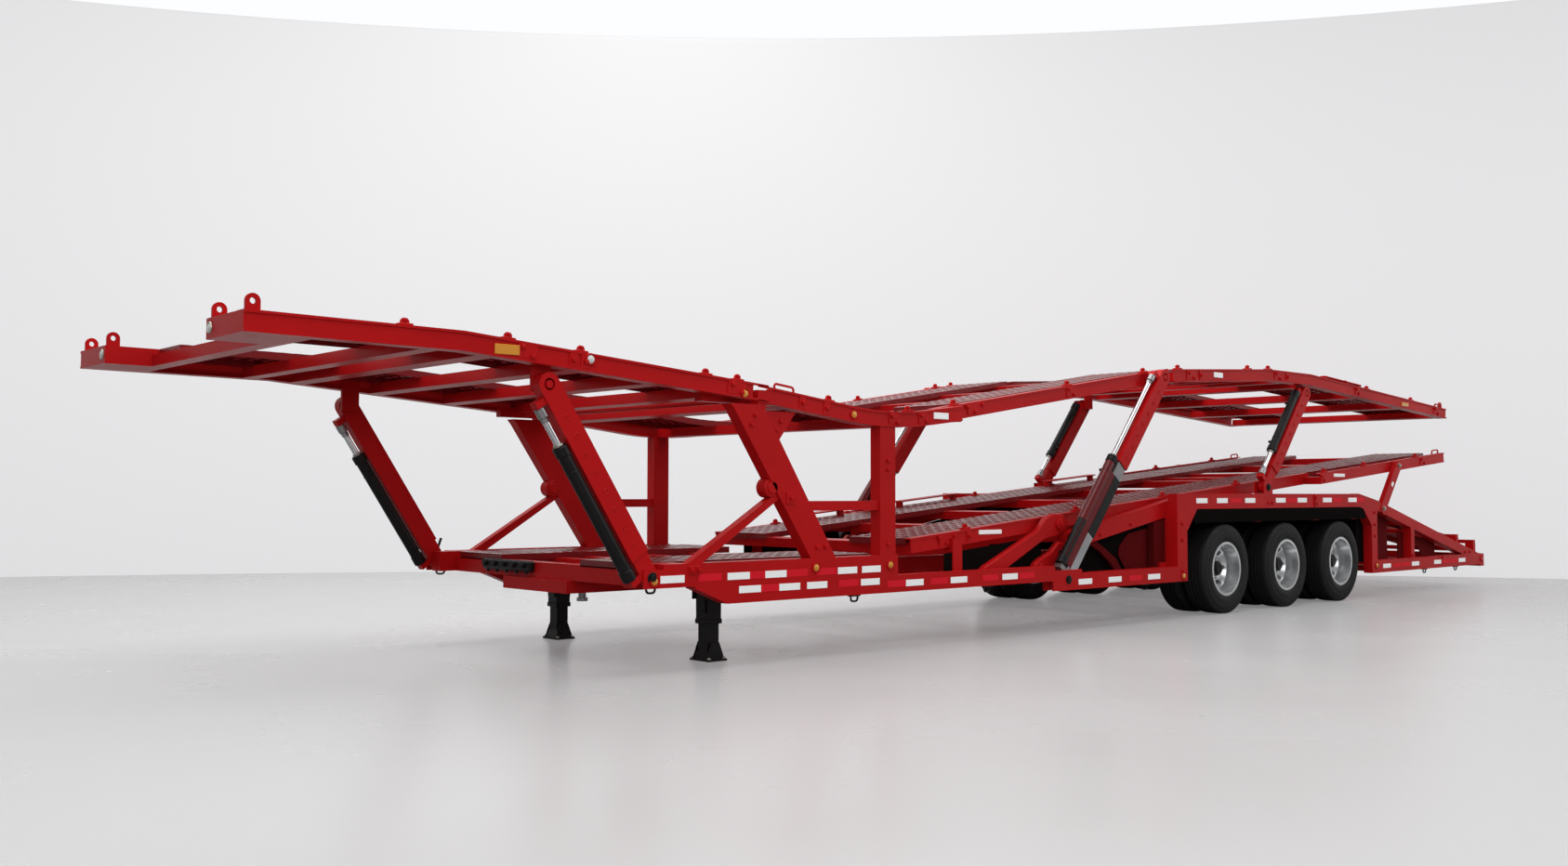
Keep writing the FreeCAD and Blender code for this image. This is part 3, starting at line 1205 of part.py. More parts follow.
# ---- support arms of the tilting deck -------------------------------------------------------
arms = []
for side in SIDES:
    y_arm = span(side, OUTER_FACE, "support_width")
    bar = sloped("support_bar_" + side, *SUPPORT, "-support_depth/2", "support_depth/2", y_arm,
                 "support_width")
    foot = pin("support_foot_" + side, SUPPORT[0], "support_depth/2", y_arm, "support_width")
    roller = pin("support_head_" + side, SUPPORT[1], "support_depth/2", y_arm, "support_width")
    bore = pin("support_bore_" + side, SUPPORT[0], "pin_radius + fit_gap",
               span(side, OUTER_FACE + " + lap", "support_width + 2*lap"), "support_width + 2*lap")
    arms.append(cut("support_arm_" + side, fuse("support_arm_solid_" + side, [bar, foot, roller]), bore))
node("support_arms", arms)

# ---- tail: lower beams, rear beam, cross tubes and tracks -----------------------------------
tail = []
for side in SIDES:
    tail.append(block("tail_beam_" + side, ("arch_rear_post + rear_post_width", span(side, OUTER_FACE,
                                                                                     "rail_width"),
                                            "tail_bottom"),
                      ("tail_end - tail_block - arch_rear_post - rear_post_width + lap", "rail_width",
                       "tail_rail_top - tail_bottom")))
tail.append(block("tail_cross", ("tail_end - tail_block", "-half_width", "tail_bottom - tail_cross_drop"),
                  ("tail_block", "2*half_width", "tail_cross_depth")))
for count, place in enumerate(spread(3, "tail_slope_start", "tail_end - tail_bar_low - 3*tail_block")):
    tail.append(crossbar("tail_low_cross_%d" % count, place, "tail_bottom + tail_floor_rise",
                         "tail_floor_depth",
                         CROSS_END))
node("tail_frame", tail)
# One row per cross under the tail tracks: its place and its outer end.
TAIL_CROSSES = (
    ("tail_track_start", INNER_FACE),
    ("tail_track_start + tail_bar_pitch", INNER_FACE),
    ("tail_track_end - tail_bar_low", "half_width - 2*lap"),
    ("tail_track_end - tail_block", "half_width - 2*lap"),
)
tail_crosses = []
for count, (place, outer) in enumerate(TAIL_CROSSES):
    tail_crosses.append(block("tail_cross_%d" % count,
                              (place, "-(%s)" % outer,
                               "%s - track_depth - tail_bar_depth" % on_line(*TAIL_TRACK, place)),
                              ("tail_bar_width", "2*(%s)" % outer, "tail_bar_depth - tail_bar_gap")))
# Shelves under the stowed ramps, parallel to the way they slide.
for count, place in enumerate(("shelf_front - ramp_front", "shelf_rear - ramp_front")):
    tail_crosses.append(sloped("ramp_shelf_%d" % count, *RAMP, "-ramp_depth - shelf_depth",
                               "-ramp_depth - seat_gap",
                               "-(%s)" % INNER_FACE, "2*(%s)" % INNER_FACE,
                               *part_of(RAMP, place, place + " + shelf_width")))
node("tail_crosses", tail_crosses)
node("tail_tracks", tracks("tail_track", *TAIL_TRACK))

# ---- loading ramps stowed under the tail tracks ---------------------------------------------
for side in SIDES:
    body = sloped("ramp_body_" + side, *RAMP, "-ramp_depth", "0", span(side, "ramp_outer", "ramp_width"),
                  "ramp_width")
    room = sloped("ramp_room_" + side, *RAMP, "-ramp_depth - lap", "-track_wall",
                  span(side, "ramp_outer - ramp_lip", "ramp_width - 2*ramp_lip"), "ramp_width - 2*ramp_lip",
                  "lap", "lap")
    node("loading_ramp_" + side, [cut("ramp_" + side, body, room)])

# ---- lifts: telescopic posts, each with a cylinder beside it --------------------------------
offset = "(sleeve_depth/2 + lift_gap + barrel_radius)"
stem_half = "(sleeve_depth/2 - sleeve_wall - stem_gap)"
for name, foot, head, sleeve_start, barrel_end, barrel_at in LIFTS:
    line = (foot, head)
    whole = reach(line)
    lug_line = (whole + " - head_lug_start", whole + " - head_lug_end")
    groups = {"stems": [], "sleeves": [], "barrels": [], "rods": []}
    for side in SIDES:
        tag = "%s_%s" % (name, side)
        y_stem = span(side, STEM_OUTER, STEM_WIDTH)
        y_sleeve = span(side, "half_width - side_gap", "sleeve_width")
        y_rod = ("-(%s)" if side == "left" else "%s") % "(half_width - side_gap - sleeve_width/2)"
        stem = fuse(tag + "_stem_solid", [
            sloped(tag + "_stem_bar", *line, "-" + stem_half, stem_half, y_stem, STEM_WIDTH,
                   *part_of(line, "0", whole + " - stem_end")),
            pin(tag + "_stem_foot", foot, "foot_round", y_stem, STEM_WIDTH),
            sloped(tag + "_stem_lug", *line, stem_half + " - lap", offset + " + rod_radius", y_stem,
                   STEM_WIDTH,
                   *part_of(line, "lug_start", "lug_end"))])
        foot_bore = pin(tag + "_stem_bore", foot, "pin_radius + fit_gap",
                        span(side, "half_width + lap", EAR_ROOM + " + 2*lap"), EAR_ROOM + " + 2*lap")
        groups["stems"].append(cut(tag + "_stem", stem, foot_bore))
        case = fuse(tag + "_sleeve_solid", [
            sloped(tag + "_sleeve_case", *line, "-sleeve_depth/2", "sleeve_depth/2", y_sleeve,
                   "sleeve_width",
                   *part_of(line, sleeve_start, whole)),
            pin(tag + "_sleeve_head", head, "sleeve_depth/2", y_sleeve, "sleeve_width"),
            sloped(tag + "_sleeve_lug", *line, "sleeve_depth/2 - lap", offset + " + rod_radius", y_stem,
                   STEM_WIDTH,
                   *part_of(line, *lug_line))])
        room = fuse(tag + "_sleeve_room_all", [
            sloped(tag + "_sleeve_room", *line, "-(%s + stem_gap)" % stem_half, stem_half + " + stem_gap",
                   span(side, STEM_OUTER + " + stem_gap", STEM_WIDTH + " + 2*stem_gap"),
                   STEM_WIDTH + " + 2*stem_gap",
                   *part_of(line, sleeve_start + " - lap", whole + " - room_end")),
            pin(tag + "_sleeve_bore", head, "pin_radius + eye_gap", span(side, "half_width", EAR_ROOM),
                EAR_ROOM)])
        groups["sleeves"].append(cut(tag + "_sleeve", case, room))
        barrel_line = ("lug_end", barrel_end)
        rod_line = (barrel_end + " - rod_overlap", lug_line[0])
        bore_line = ("lug_end + barrel_cap", barrel_end + " + lap")
        if barrel_at == "head":
            barrel_line = (barrel_end, lug_line[0])
            rod_line = ("lug_end", barrel_end + " + rod_overlap")
            bore_line = (barrel_end + " - lap", lug_line[0] + " - barrel_cap")
        tube = sloped_rod(tag + "_barrel_body", *line, offset, "barrel_radius", y_rod,
                          *part_of(line, *barrel_line))
        bore = sloped_rod(tag + "_barrel_bore", *line, offset, "rod_radius + rod_gap", y_rod,
                          *part_of(line, *bore_line))
        groups["barrels"].append(cut(tag + "_barrel", tube, bore))
        groups["rods"].append(sloped_rod(tag + "_rod", *line, offset, "rod_radius", y_rod,
                                         *part_of(line, *rod_line)))
    for kind, pieces in groups.items():
        node("%s_%s" % (name, kind), pieces)

# ---- check and export -----------------------------------------------------------------------
doc.recompute()
bad = [thing.Name for thing in doc.Objects if "Invalid" in thing.State or "Error" in thing.State]
for name, thing in nodes.items():
    if thing.Shape.isNull() or not thing.Shape.isValid():
        bad.append(name)
if bad:
    print("failed:", bad)
    sys.exit(1)
os.makedirs("parts", exist_ok=True)
for name, thing in nodes.items():
    thing.Shape.exportStep("parts/%s.step" % name)
print(len(nodes), "nodes")
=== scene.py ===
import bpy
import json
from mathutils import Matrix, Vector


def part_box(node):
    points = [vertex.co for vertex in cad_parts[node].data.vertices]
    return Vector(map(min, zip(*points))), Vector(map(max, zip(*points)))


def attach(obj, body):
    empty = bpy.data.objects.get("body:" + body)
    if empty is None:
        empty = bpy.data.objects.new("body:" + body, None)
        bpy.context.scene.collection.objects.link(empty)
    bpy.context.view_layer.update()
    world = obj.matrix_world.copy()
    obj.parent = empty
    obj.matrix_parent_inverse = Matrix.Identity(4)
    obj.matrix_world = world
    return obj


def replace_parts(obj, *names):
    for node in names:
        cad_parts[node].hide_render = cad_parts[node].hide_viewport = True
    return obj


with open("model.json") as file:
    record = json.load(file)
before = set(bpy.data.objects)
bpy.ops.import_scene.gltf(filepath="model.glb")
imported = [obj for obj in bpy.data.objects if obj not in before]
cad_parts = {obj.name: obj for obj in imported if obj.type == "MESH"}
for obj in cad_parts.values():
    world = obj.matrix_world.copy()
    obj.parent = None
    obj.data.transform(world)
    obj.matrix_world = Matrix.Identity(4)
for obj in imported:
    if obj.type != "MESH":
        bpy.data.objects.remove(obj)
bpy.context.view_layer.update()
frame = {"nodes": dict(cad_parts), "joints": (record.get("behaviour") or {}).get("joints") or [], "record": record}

import json
import math
import bpy
from mathutils import Vector

bl_info = {
    "name": "Car transporter semi-trailer",
    "version": (1, 0, 0),
    "blender": (4, 5, 0),
    "location": "3D View > Sidebar > Transporter",
    "description": "Finishes and fittings of a two-deck car transporter semi-trailer",
    "category": "Object",
}

NODES = frame["nodes"]
RECORD = frame["record"]
JOINTS = {joint["name"]: joint for joint in frame["joints"]}
RIDES = {node: body for body, nodes in RECORD["behaviour"]["bodies"].items() for node in nodes}
QUARTER = math.radians(90)
# Turns of a piece that is modelled along Z: not turned, out of the left side, and out of either side.
UPRIGHT = (0, 0, 0)
LEFT = (QUARTER, 0, 0)
OUTWARD = {-1: LEFT, 1: (-QUARTER, 0, 0)}


# ---- sizes and colours ----------------------------------------------------------------------
def colour(label, value):
    return bpy.props.FloatVectorProperty(name=label, description="Base colour", subtype="COLOR", size=3,
                                         min=0, max=1, default=value)


def length(label, value, text):
    return bpy.props.FloatProperty(name=label, description=text, default=value, min=0, unit="LENGTH")


def angle(label, degrees, text):
    return bpy.props.FloatProperty(name=label, description=text, subtype="ANGLE",
                                   default=math.radians(degrees))


class TrailerColours(bpy.types.PropertyGroup):
    """Colours of the trailer's finishes."""
    frame_red: colour("Frame red", (0.62, 0.007, 0.009))
    track_red: colour("Track red", (0.24, 0.005, 0.009))
    dark_red: colour("Dark gloss red", (0.17, 0.005, 0.008))
    # A darker copy of the frame red: painted shade for parts in the bays and at the tail.
    shaded_red: colour("Inner red", (0.13, 0.003, 0.005))
    # Near-black without sheen: painted shade, for the sheets round the wheels and in the bays.
    shade_black_tone: colour("Liner black", (0.004, 0.004, 0.004))
    black: colour("Black paint", (0.007, 0.007, 0.008))
    rubber: colour("Rubber", (0.009, 0.009, 0.010))
    chrome: colour("Chrome", (0.78, 0.78, 0.80))
    steel: colour("Bare steel", (0.42, 0.42, 0.43))
    silver: colour("Wheel silver", (0.86, 0.87, 0.88))
    zinc: colour("Zinc plating", (0.50, 0.49, 0.44))
    amber: colour("Amber lens", (0.85, 0.33, 0.02))
    clear: colour("Clear lens", (0.85, 0.86, 0.84))
    tape_white: colour("White tape", (0.88, 0.89, 0.88))
    tape_red: colour("Red tape", (0.72, 0.012, 0.025))


class TrailerSizes(bpy.types.PropertyGroup):
    """Sizes of the fittings."""
    hole_pitch: length("Hole pitch", 0.093, "Spacing of the holes in the wheel tracks")
    hole_radius: length("Hole radius", 0.027, "Radius of each hole in the wheel tracks")
    dimple: length("Dimple", 0.004, "Height of the pressed rim round each hole")
    track_lip: length("Track lip", 0.045, "Depth of the folded edges of the wheel tracks")
    lip_height: length("Rail lip height", 0.014, "Height of each rail lip")
    bolt_radius: length("Bolt head", 0.014, "Radius of a bolt head")
    lamp_radius: length("Marker lamp", 0.03, "Radius of a round marker lamp")
    tape_height: length("Tape height", 0.043, "Height of the reflective tape")
    tape_length: length("Tape length", 0.175, "Length of one patch of reflective tape")


class StudioSettings(bpy.types.PropertyGroup):
    """The floor, the backdrop and the camera."""
    floor: colour("Floor", (0.26, 0.262, 0.265))
    wall: colour("Wall", (0.90, 0.90, 0.90))
    floor_seen: colour("Floor as seen", (0.58, 0.577, 0.577))
    wall_seen: colour("Wall as seen", (0.84, 0.83, 0.845))
    camera_place: bpy.props.FloatVectorProperty(name="Camera", description="Place of the camera",
                                                subtype="TRANSLATION", default=(-9.422, -7.642, 1.055))
    camera_heading: angle("Heading", 48.01, "Camera's turn about the vertical")
    camera_pitch: angle("Pitch", 2.49, "Camera's tilt above level")
    camera_roll: angle("Roll", -0.07, "Camera's roll")
    lens: bpy.props.FloatProperty(name="Lens", description="Focal length in millimetres", default=31.48,
                                  min=1)
    wall_depth: length("Wall depth", 18.6, "Distance from the camera to the wall")
    wall_height: length("Wall height", 7.25, "Height of the wall")


# ---- shader groups --------------------------------------------------------------------------
def group(name, inputs, outputs):
    """An empty shader group with named sockets, and its two end nodes."""
    tree = bpy.data.node_groups.new(name, "ShaderNodeTree")
    for label, value in inputs:
        kind = "NodeSocketFloat" if isinstance(value, float) else "NodeSocketColor"
        tree.interface.new_socket(name=label, in_out="INPUT", socket_type=kind).default_value = value
    for label in outputs:
        kind = "NodeSocketColor" if label == "Color" else "NodeSocketFloat"
        tree.interface.new_socket(name=label, in_out="OUTPUT", socket_type=kind)
    return tree, tree.nodes.new("NodeGroupInput"), tree.nodes.new("NodeGroupOutput")


def feed(tree, socket, item):
    """Links an input to another socket, or sets it to a value."""
    if isinstance(item, bpy.types.NodeSocket):
        tree.links.new(item, socket)
    else:
        socket.default_value = item


def mixed(tree, factor, first, second):
    """A colour mix; each of the three may be a socket or a value."""
    node = tree.nodes.new("ShaderNodeMix")
    node.data_type = "RGBA"
    # A mix node has inputs for every kind of data; these are its factor and its two colours.
    for index, item in ((0, factor), (6, first), (7, second)):
        feed(tree, node.inputs[index], item)
    return node.outputs[2]


def scaled(tree, value, low, high):
    """A value brought from 0..1 to low..high."""
    node = tree.nodes.new("ShaderNodeMapRange")
    for label, item in (("Value", value), ("To Min", low), ("To Max", high)):
        feed(tree, node.inputs[label], item)
    return node.outputs["Result"]


def object_place(tree):
    return tree.nodes.new("ShaderNodeTexCoord").outputs["Object"]


def noise(tree, scale, detail, stretch=(1, 1, 1)):
    """Noise on object coordinates, stretched along the axes."""
    mapping = tree.nodes.new("ShaderNodeMapping")
    mapping.inputs["Scale"].default_value = stretch
    tree.links.new(object_place(tree), mapping.inputs["Vector"])
    node = tree.nodes.new("ShaderNodeTexNoise")
    for label, item in (("Vector", mapping.outputs["Vector"]), ("Scale", scale), ("Detail", detail)):
        feed(tree, node.inputs[label], item)
    return node.outputs["Fac"]


def hand_out(tree, result, **effects):
    """Links a group's effects to its outputs."""
    for label, item in effects.items():
        tree.links.new(item, result.inputs[label.title()])
    return tree


def weathered_group():
    """Colour, roughness and height of a finish with dust, grime and a slight waviness."""
    tree, given, result = group("Weathered finish", (
        ("Color", (0.5, 0.5, 0.5, 1)), ("Dust", (0.3, 0.25, 0.22, 1)), ("Dust Amount", 0.15),
        ("Scale", 3.0), ("Smooth", 0.2), ("Dull", 0.4)), ("Color", "Roughness", "Height"))
    take = given.outputs
    broad = noise(tree, take["Scale"], 4.0)
    fine = noise(tree, 60.0, 2.0)
    shaded = mixed(tree, scaled(tree, broad, 0.0, 0.35), take["Color"], (0.0, 0.0, 0.0, 1))
    lit = mixed(tree, scaled(tree, fine, 0.0, take["Dust Amount"]), shaded, take["Dust"])
    return hand_out(tree, result, color=lit, height=fine,
                    roughness=scaled(tree, broad, take["Smooth"], take["Dull"]))


def streak_group():
    """Fine scratches along one direction, for bare and plated steel."""
    tree, given, result = group("Brushed streaks", (
        ("Color", (0.5, 0.5, 0.5, 1)), ("Stain", (0.2, 0.15, 0.12, 1)), ("Stain Amount", 0.2),
        ("Smooth", 0.2), ("Dull", 0.4)), ("Color", "Roughness", "Height"))
    take = given.outputs
    streaks = noise(tree, 40.0, 2.0, (0.1, 1.0, 1.0))
    stains = noise(tree, 4.0, 5.0)
    stained = mixed(tree, scaled(tree, stains, 0.0, take["Stain Amount"]), take["Color"], take["Stain"])
    return hand_out(tree, result, color=stained, height=streaks,
                    roughness=scaled(tree, streaks, take["Smooth"], take["Dull"]))


def reflector_group():
    """The small cells of reflective tape and lamp lenses."""
    tree, given, result = group("Reflector cells", (("Color", (0.8, 0.8, 0.8, 1)), ("Scale", 120.0)),
                                ("Color", "Height"))
    cells = tree.nodes.new("ShaderNodeTexVoronoi")
    cells.inputs["Randomness"].default_value = 0.1
    tree.links.new(object_place(tree), cells.inputs["Vector"])
    tree.links.new(given.outputs["Scale"], cells.inputs["Scale"])
    distance, tone = cells.outputs["Distance"], given.outputs["Color"]
    dark = mixed(tree, 0.2, tone, (0, 0, 0, 1))
    return hand_out(tree, result, color=mixed(tree, distance, tone, dark), height=distance)


GROUPS = {}
FINISH = {}


def finish(name, effect, bump=0.02, distance=0.002, **settings):
    """A material whose colour, roughness and relief come from one effect group.

    Each setting goes to the group's input of that name, or else to the surface's.
    """
    material = bpy.data.materials.new(name)
    material.use_nodes = True
    tree = material.node_tree
    surface = tree.nodes["Principled BSDF"]
    node = tree.nodes.new("ShaderNodeGroup")
    node.node_tree = GROUPS[effect]
    for label, value in settings.items():
        title = label.replace("_", " ").title().replace("Ior", "IOR")
        inputs = node.inputs if title in node.inputs else surface.inputs
        inputs[title].default_value = value if isinstance(value, float) else (*value, 1)
    tree.links.new(node.outputs["Color"], surface.inputs["Base Color"])
    if "Roughness" in node.outputs:
        tree.links.new(node.outputs["Roughness"], surface.inputs["Roughness"])
    relief = tree.nodes.new("ShaderNodeBump")
    relief.inputs["Strength"].default_value = bump
    relief.inputs["Distance"].default_value = distance
    tree.links.new(node.outputs["Height"], relief.inputs["Height"])
    tree.links.new(relief.outputs["Normal"], surface.inputs["Normal"])
    FINISH[name] = material


# ---- modelling helpers ----------------------------------------------------------------------
def middle_of(values):
    return (min(values) + max(values)) / 2


def clear_selection():
    if bpy.context.object and bpy.context.object.mode != "OBJECT":
        bpy.ops.object.mode_set(mode="OBJECT")
    bpy.ops.object.select_all(action="DESELECT")


def select_only(*pieces):
    """Selects the pieces and makes the first one active."""
    clear_selection()
    for piece in pieces:
        piece.select_set(True)
    bpy.context.view_layer.objects.active = pieces[0]


def settle():
    """Takes the place, turn and scale of what is selected into its mesh."""
    bpy.ops.object.transform_apply(location=True, rotation=True, scale=True)


def edit():
    """Edit mode with all of the active mesh selected."""
    bpy.ops.object.mode_set(mode="EDIT")
    bpy.ops.mesh.select_mode(type="VERT")
    bpy.ops.mesh.select_all(action="SELECT")


def done():
    bpy.ops.object.mode_set(mode="OBJECT")
    return bpy.context.object


def select_all():
    bpy.ops.mesh.select_all(action="SELECT")


def face_out():
    """In edit mode, selects all and turns the faces outward."""
    select_all()
    bpy.ops.mesh.normals_make_consistent(inside=False)


def pick(piece, kind, test):
    """In edit mode, selects only the vertices, edges or faces that pass a test."""
    bpy.ops.object.mode_set(mode="EDIT")
    bpy.ops.mesh.select_mode(type=kind)
    bpy.ops.mesh.select_all(action="DESELECT")
    bpy.ops.object.mode_set(mode="OBJECT")
    mesh = piece.data
    for part in {"VERT": mesh.vertices, "EDGE": mesh.edges, "FACE": mesh.polygons}[kind]:
        part.select = bool(test(part))
    bpy.ops.object.mode_set(mode="EDIT")


def pick_vertices(piece, test):
    pick(piece, "VERT", lambda vertex: test(vertex.co))


def pick_edges(piece, test):
    points = piece.data.vertices
    pick(piece, "EDGE", lambda edge: test(points[edge.vertices[0]].co, points[edge.vertices[1]].co))


def block(centre, size, chamfer=0.003, turn=UPRIGHT):
    """A chamfered block."""
    clear_selection()
    bpy.ops.mesh.primitive_cube_add(size=1, location=centre, rotation=turn, scale=size)
    edit()
    bpy.ops.mesh.bevel(offset=chamfer, segments=1)
    piece = done()
    settle()
    return piece


def rectangle(centre, size, turn=UPRIGHT):
    """A flat rectangle, left in edit mode."""
    clear_selection()
    bpy.ops.mesh.primitive_plane_add(size=1, location=centre, rotation=turn)
    piece = bpy.context.object
    piece.scale = (*size, 1)
    settle()
    edit()
    return piece


def drum(centre, radius, depth, turn=UPRIGHT, sides=24, chamfer=0.003):
    """A short round bar with chamfered rims."""
    clear_selection()
    bpy.ops.mesh.primitive_cylinder_add(vertices=sides, radius=radius, depth=depth, location=centre,
                                        rotation=turn)
    piece = bpy.context.object
    pick(piece, "FACE", lambda face: abs(face.normal.z) > 0.9)
    if chamfer:
        bpy.ops.mesh.bevel(offset=chamfer, segments=1)
    done()
    settle()
    return piece


def moves(points):
    """The move from each point to the next."""
    return [{"value": [b - a for a, b in zip(before, after)]} for before, after in zip(points, points[1:])]


def outline(points):
    """A chain of vertices through the points, drawn by extruding one vertex, left in edit mode."""
    clear_selection()
    bpy.ops.mesh.primitive_plane_add(size=0.01, location=(0, 0, 0))
    edit()
    bpy.ops.mesh.merge(type="CENTER")
    bpy.ops.transform.translate(value=points[0])
    for move in moves(points):
        bpy.ops.mesh.extrude_vertices_move(TRANSFORM_OT_translate=move)
    select_all()


def turned(profile, centre, count):
    """A closed profile of (radius, place along Y) turned about an axle through the centre."""
    x, y, z = centre
    points = [(x + radius, y + place, z) for radius, place in profile]
    outline(points + points[:1])
    bpy.ops.mesh.spin(steps=count, angle=2 * math.pi, center=centre, axis=(0, 1, 0))
    select_all()
    bpy.ops.mesh.remove_doubles(threshold=0.0001)
    face_out()
    return done()


def bar_along(points, width, height):
    """A bar of upright rectangular section that runs through points, extruded run by run."""
    rectangle(points[0], (height, width), (0, QUARTER, 0))
    for move in moves(points):
        bpy.ops.mesh.extrude_region_move(TRANSFORM_OT_translate=move)
    face_out()
    return done()


def flat_plate(points, y, width, chamfer=0.0):
    """A plate with a corner at each (x, z) point, from y to y + width."""
    outline([(x, y, z) for x, z in points + points[:1]])
    bpy.ops.mesh.remove_doubles(threshold=0.0001)
    bpy.ops.mesh.edge_face_add()
    bpy.ops.mesh.extrude_region_move(TRANSFORM_OT_translate={"value": (0, width, 0)})
    face_out()
    if chamfer:
        bpy.ops.mesh.bevel(offset=chamfer, segments=1)
    return done()


def pipe(points, radius, corner):
    """A round bar through the points, each corner rounded off from the given distance."""
    outline(points)
    bpy.ops.mesh.bevel(offset=corner, segments=3, affect="VERTICES")
    done()
    bpy.ops.object.convert(target="CURVE")
    curve = bpy.context.object.data
    curve.bevel_depth = radius
    curve.bevel_resolution = 1
    curve.use_fill_caps = True
    bpy.ops.object.convert(target="MESH")
    return bpy.context.object


def sheet_along(points, y, width, thickness):
    """A thin sheet whose section runs through (x, z) points, from y to y + width."""
    outline([(x, y, z) for x, z in points])
    bpy.ops.mesh.extrude_region_move(TRANSFORM_OT_translate={"value": (0, width, 0)})
    face_out()
    piece = done()
    wall = piece.modifiers.new("Wall", "SOLIDIFY")
    wall.thickness = thickness
    wall.offset = 0
    bpy.ops.object.modifier_apply(modifier="Wall")
    return piece


def ring_model(radius, section, around, across):
    """A ring with a round section, lying in the XY plane."""
    clear_selection()
    bpy.ops.mesh.primitive_torus_add(major_radius=radius, minor_radius=section, major_segments=around,
                                     minor_segments=across)
    return bpy.context.object


def upper_half(stretch):
    """Stretches the active mesh along Z and keeps what lies above the XY plane, closed below."""
    edit()
    bpy.ops.transform.resize(value=(1, 1, stretch))
    bpy.ops.mesh.bisect(plane_co=(0, 0, 0), plane_no=(0, 0, 1), clear_inner=True, use_fill=True)
    return done()


def joined(pieces):
    select_only(*pieces)
    if len(pieces) > 1:
        bpy.ops.object.join()
    return bpy.context.object


def bolt_model(radius):
    """A hexagon bolt head on a washer, pointing along Z from its seat."""
    head = drum((0, 0, radius * 0.6), radius, radius * 0.8, sides=6, chamfer=radius * 0.15)
    washer = drum((0, 0, radius * 0.1), radius * 1.35, radius * 0.2, sides=10, chamfer=0)
    return joined([head, washer])


def copied(model, places, turn=LEFT, scale=(1, 1, 1)):
    """Copies of a model at the places, each with its own mesh, made one piece."""
    copies = []
    for place in places:
        select_only(model)
        bpy.ops.object.duplicate(linked=False)
        copy = bpy.context.object
        copy.location = place
        copy.rotation_euler = turn
        copy.scale = scale
        copies.append(copy)
    select_only(*copies)
    settle()
    return joined(copies)


def discard(*models):
    select_only(*models)
    bpy.ops.object.delete()


def both_sides(piece):
    """The piece and its mirror image on the other side, made one."""
    select_only(piece)
    mirror = piece.modifiers.new("Other side", "MIRROR")
    mirror.use_axis = (False, True, False)
    mirror.use_mirror_merge = False
    bpy.ops.object.modifier_apply(modifier="Other side")
    return piece


def keep(piece, name, body, material="red_paint", smooth=35, slotted=True):
    """Names a finished piece, gives it its finish and fixes it to its body.

    Faces that meet within the smooth angle, in degrees, are shaded as one. Slotted is not used.
    """
    piece.name = name
    piece.data.name = name
    select_only(piece)
    settle()
    bpy.ops.object.shade_smooth_by_angle(angle=math.radians(smooth))
    piece.data.materials.clear()
    piece.data.materials.append(FINISH[material])
    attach(piece, body)
    return piece


def keep_pair(piece, *rest, **more):
    """Keeps a piece that is modelled on the left side, together with its mirror image."""
    return keep(both_sides(piece), *rest, **more)


# ---- lines read from the frame --------------------------------------------------------------
def track_line(deck):
    """Points (x, z) along the top of a deck's left track."""
    mesh = NODES[deck + "_tracks"].data
    inner, outer, slack = -0.4, -1.1, 0.001
    places = {}
    for face in mesh.polygons:
        if face.normal.z > 0.5 and outer <= face.center.y <= inner:
            for point in (mesh.vertices[index].co for index in face.vertices):
                if outer - slack <= point.y <= inner + slack:
                    x = round(point.x, 3)
                    places[x] = max(places.get(x, point.z), point.z)
    return sorted(places.items())


def straight(start, end, x):
    """Height at x of the straight line through two points (x, z)."""
    return start[1] + (end[1] - start[1]) * (x - start[0]) / (end[0] - start[0])


def height(line, x):
    """Height of a line of points at x."""
    if x <= line[0][0]:
        return line[0][1]
    for start, end in zip(line, line[1:]):
        if x <= end[0]:
            return straight(start, end, x)
    return line[-1][1]


def rail_line(deck):
    """Top edge of a deck's rails: the line of its tracks, carried on to the ends of its frame."""
    line = track_line(deck)
    low, high = (corner[0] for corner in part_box(deck + "_frame"))
    return [(low, straight(line[0], line[1], low))] + line[1:-1] + [
        (high, straight(line[-2], line[-1], high))]


RAIL_DEPTH = 0.105
# Places along X that lie ahead of and behind every deck.
AHEAD, BEHIND = -9, 9
# One row per run of rails: its deck, its body, where the run starts and ends along X, the outer face of
# its rails and how far its lips stand out.
RUNS = (
    ("front_deck", "front_deck", AHEAD, BEHIND, 1.300, 0.008),
    ("bridge", "chassis", AHEAD, BEHIND, 1.300, 0.008),
    ("mid_deck", "mid_deck", AHEAD, BEHIND, 1.190, 0.008),
    ("leaf_deck", "leaf_deck", AHEAD, BEHIND, 1.300, 0.008),
    ("tilt_deck", "tilt_deck", AHEAD, 3.305, 1.080, 0.008),
    ("tilt_deck", "tilt_deck", 3.307, BEHIND, 1.250, 0.003),
)
BODIES = {run[0]: run[1] for run in RUNS}
LINES = {deck: rail_line(deck) for deck in BODIES}


def face_at(deck, x):
    """Outer face of a deck's rails at x."""
    return [run[4] for run in RUNS if run[0] == deck and run[2] <= x][-1]


def slope_at(deck, x):
    return math.atan2(height(LINES[deck], x + 0.1) - height(LINES[deck], x - 0.1), 0.2)


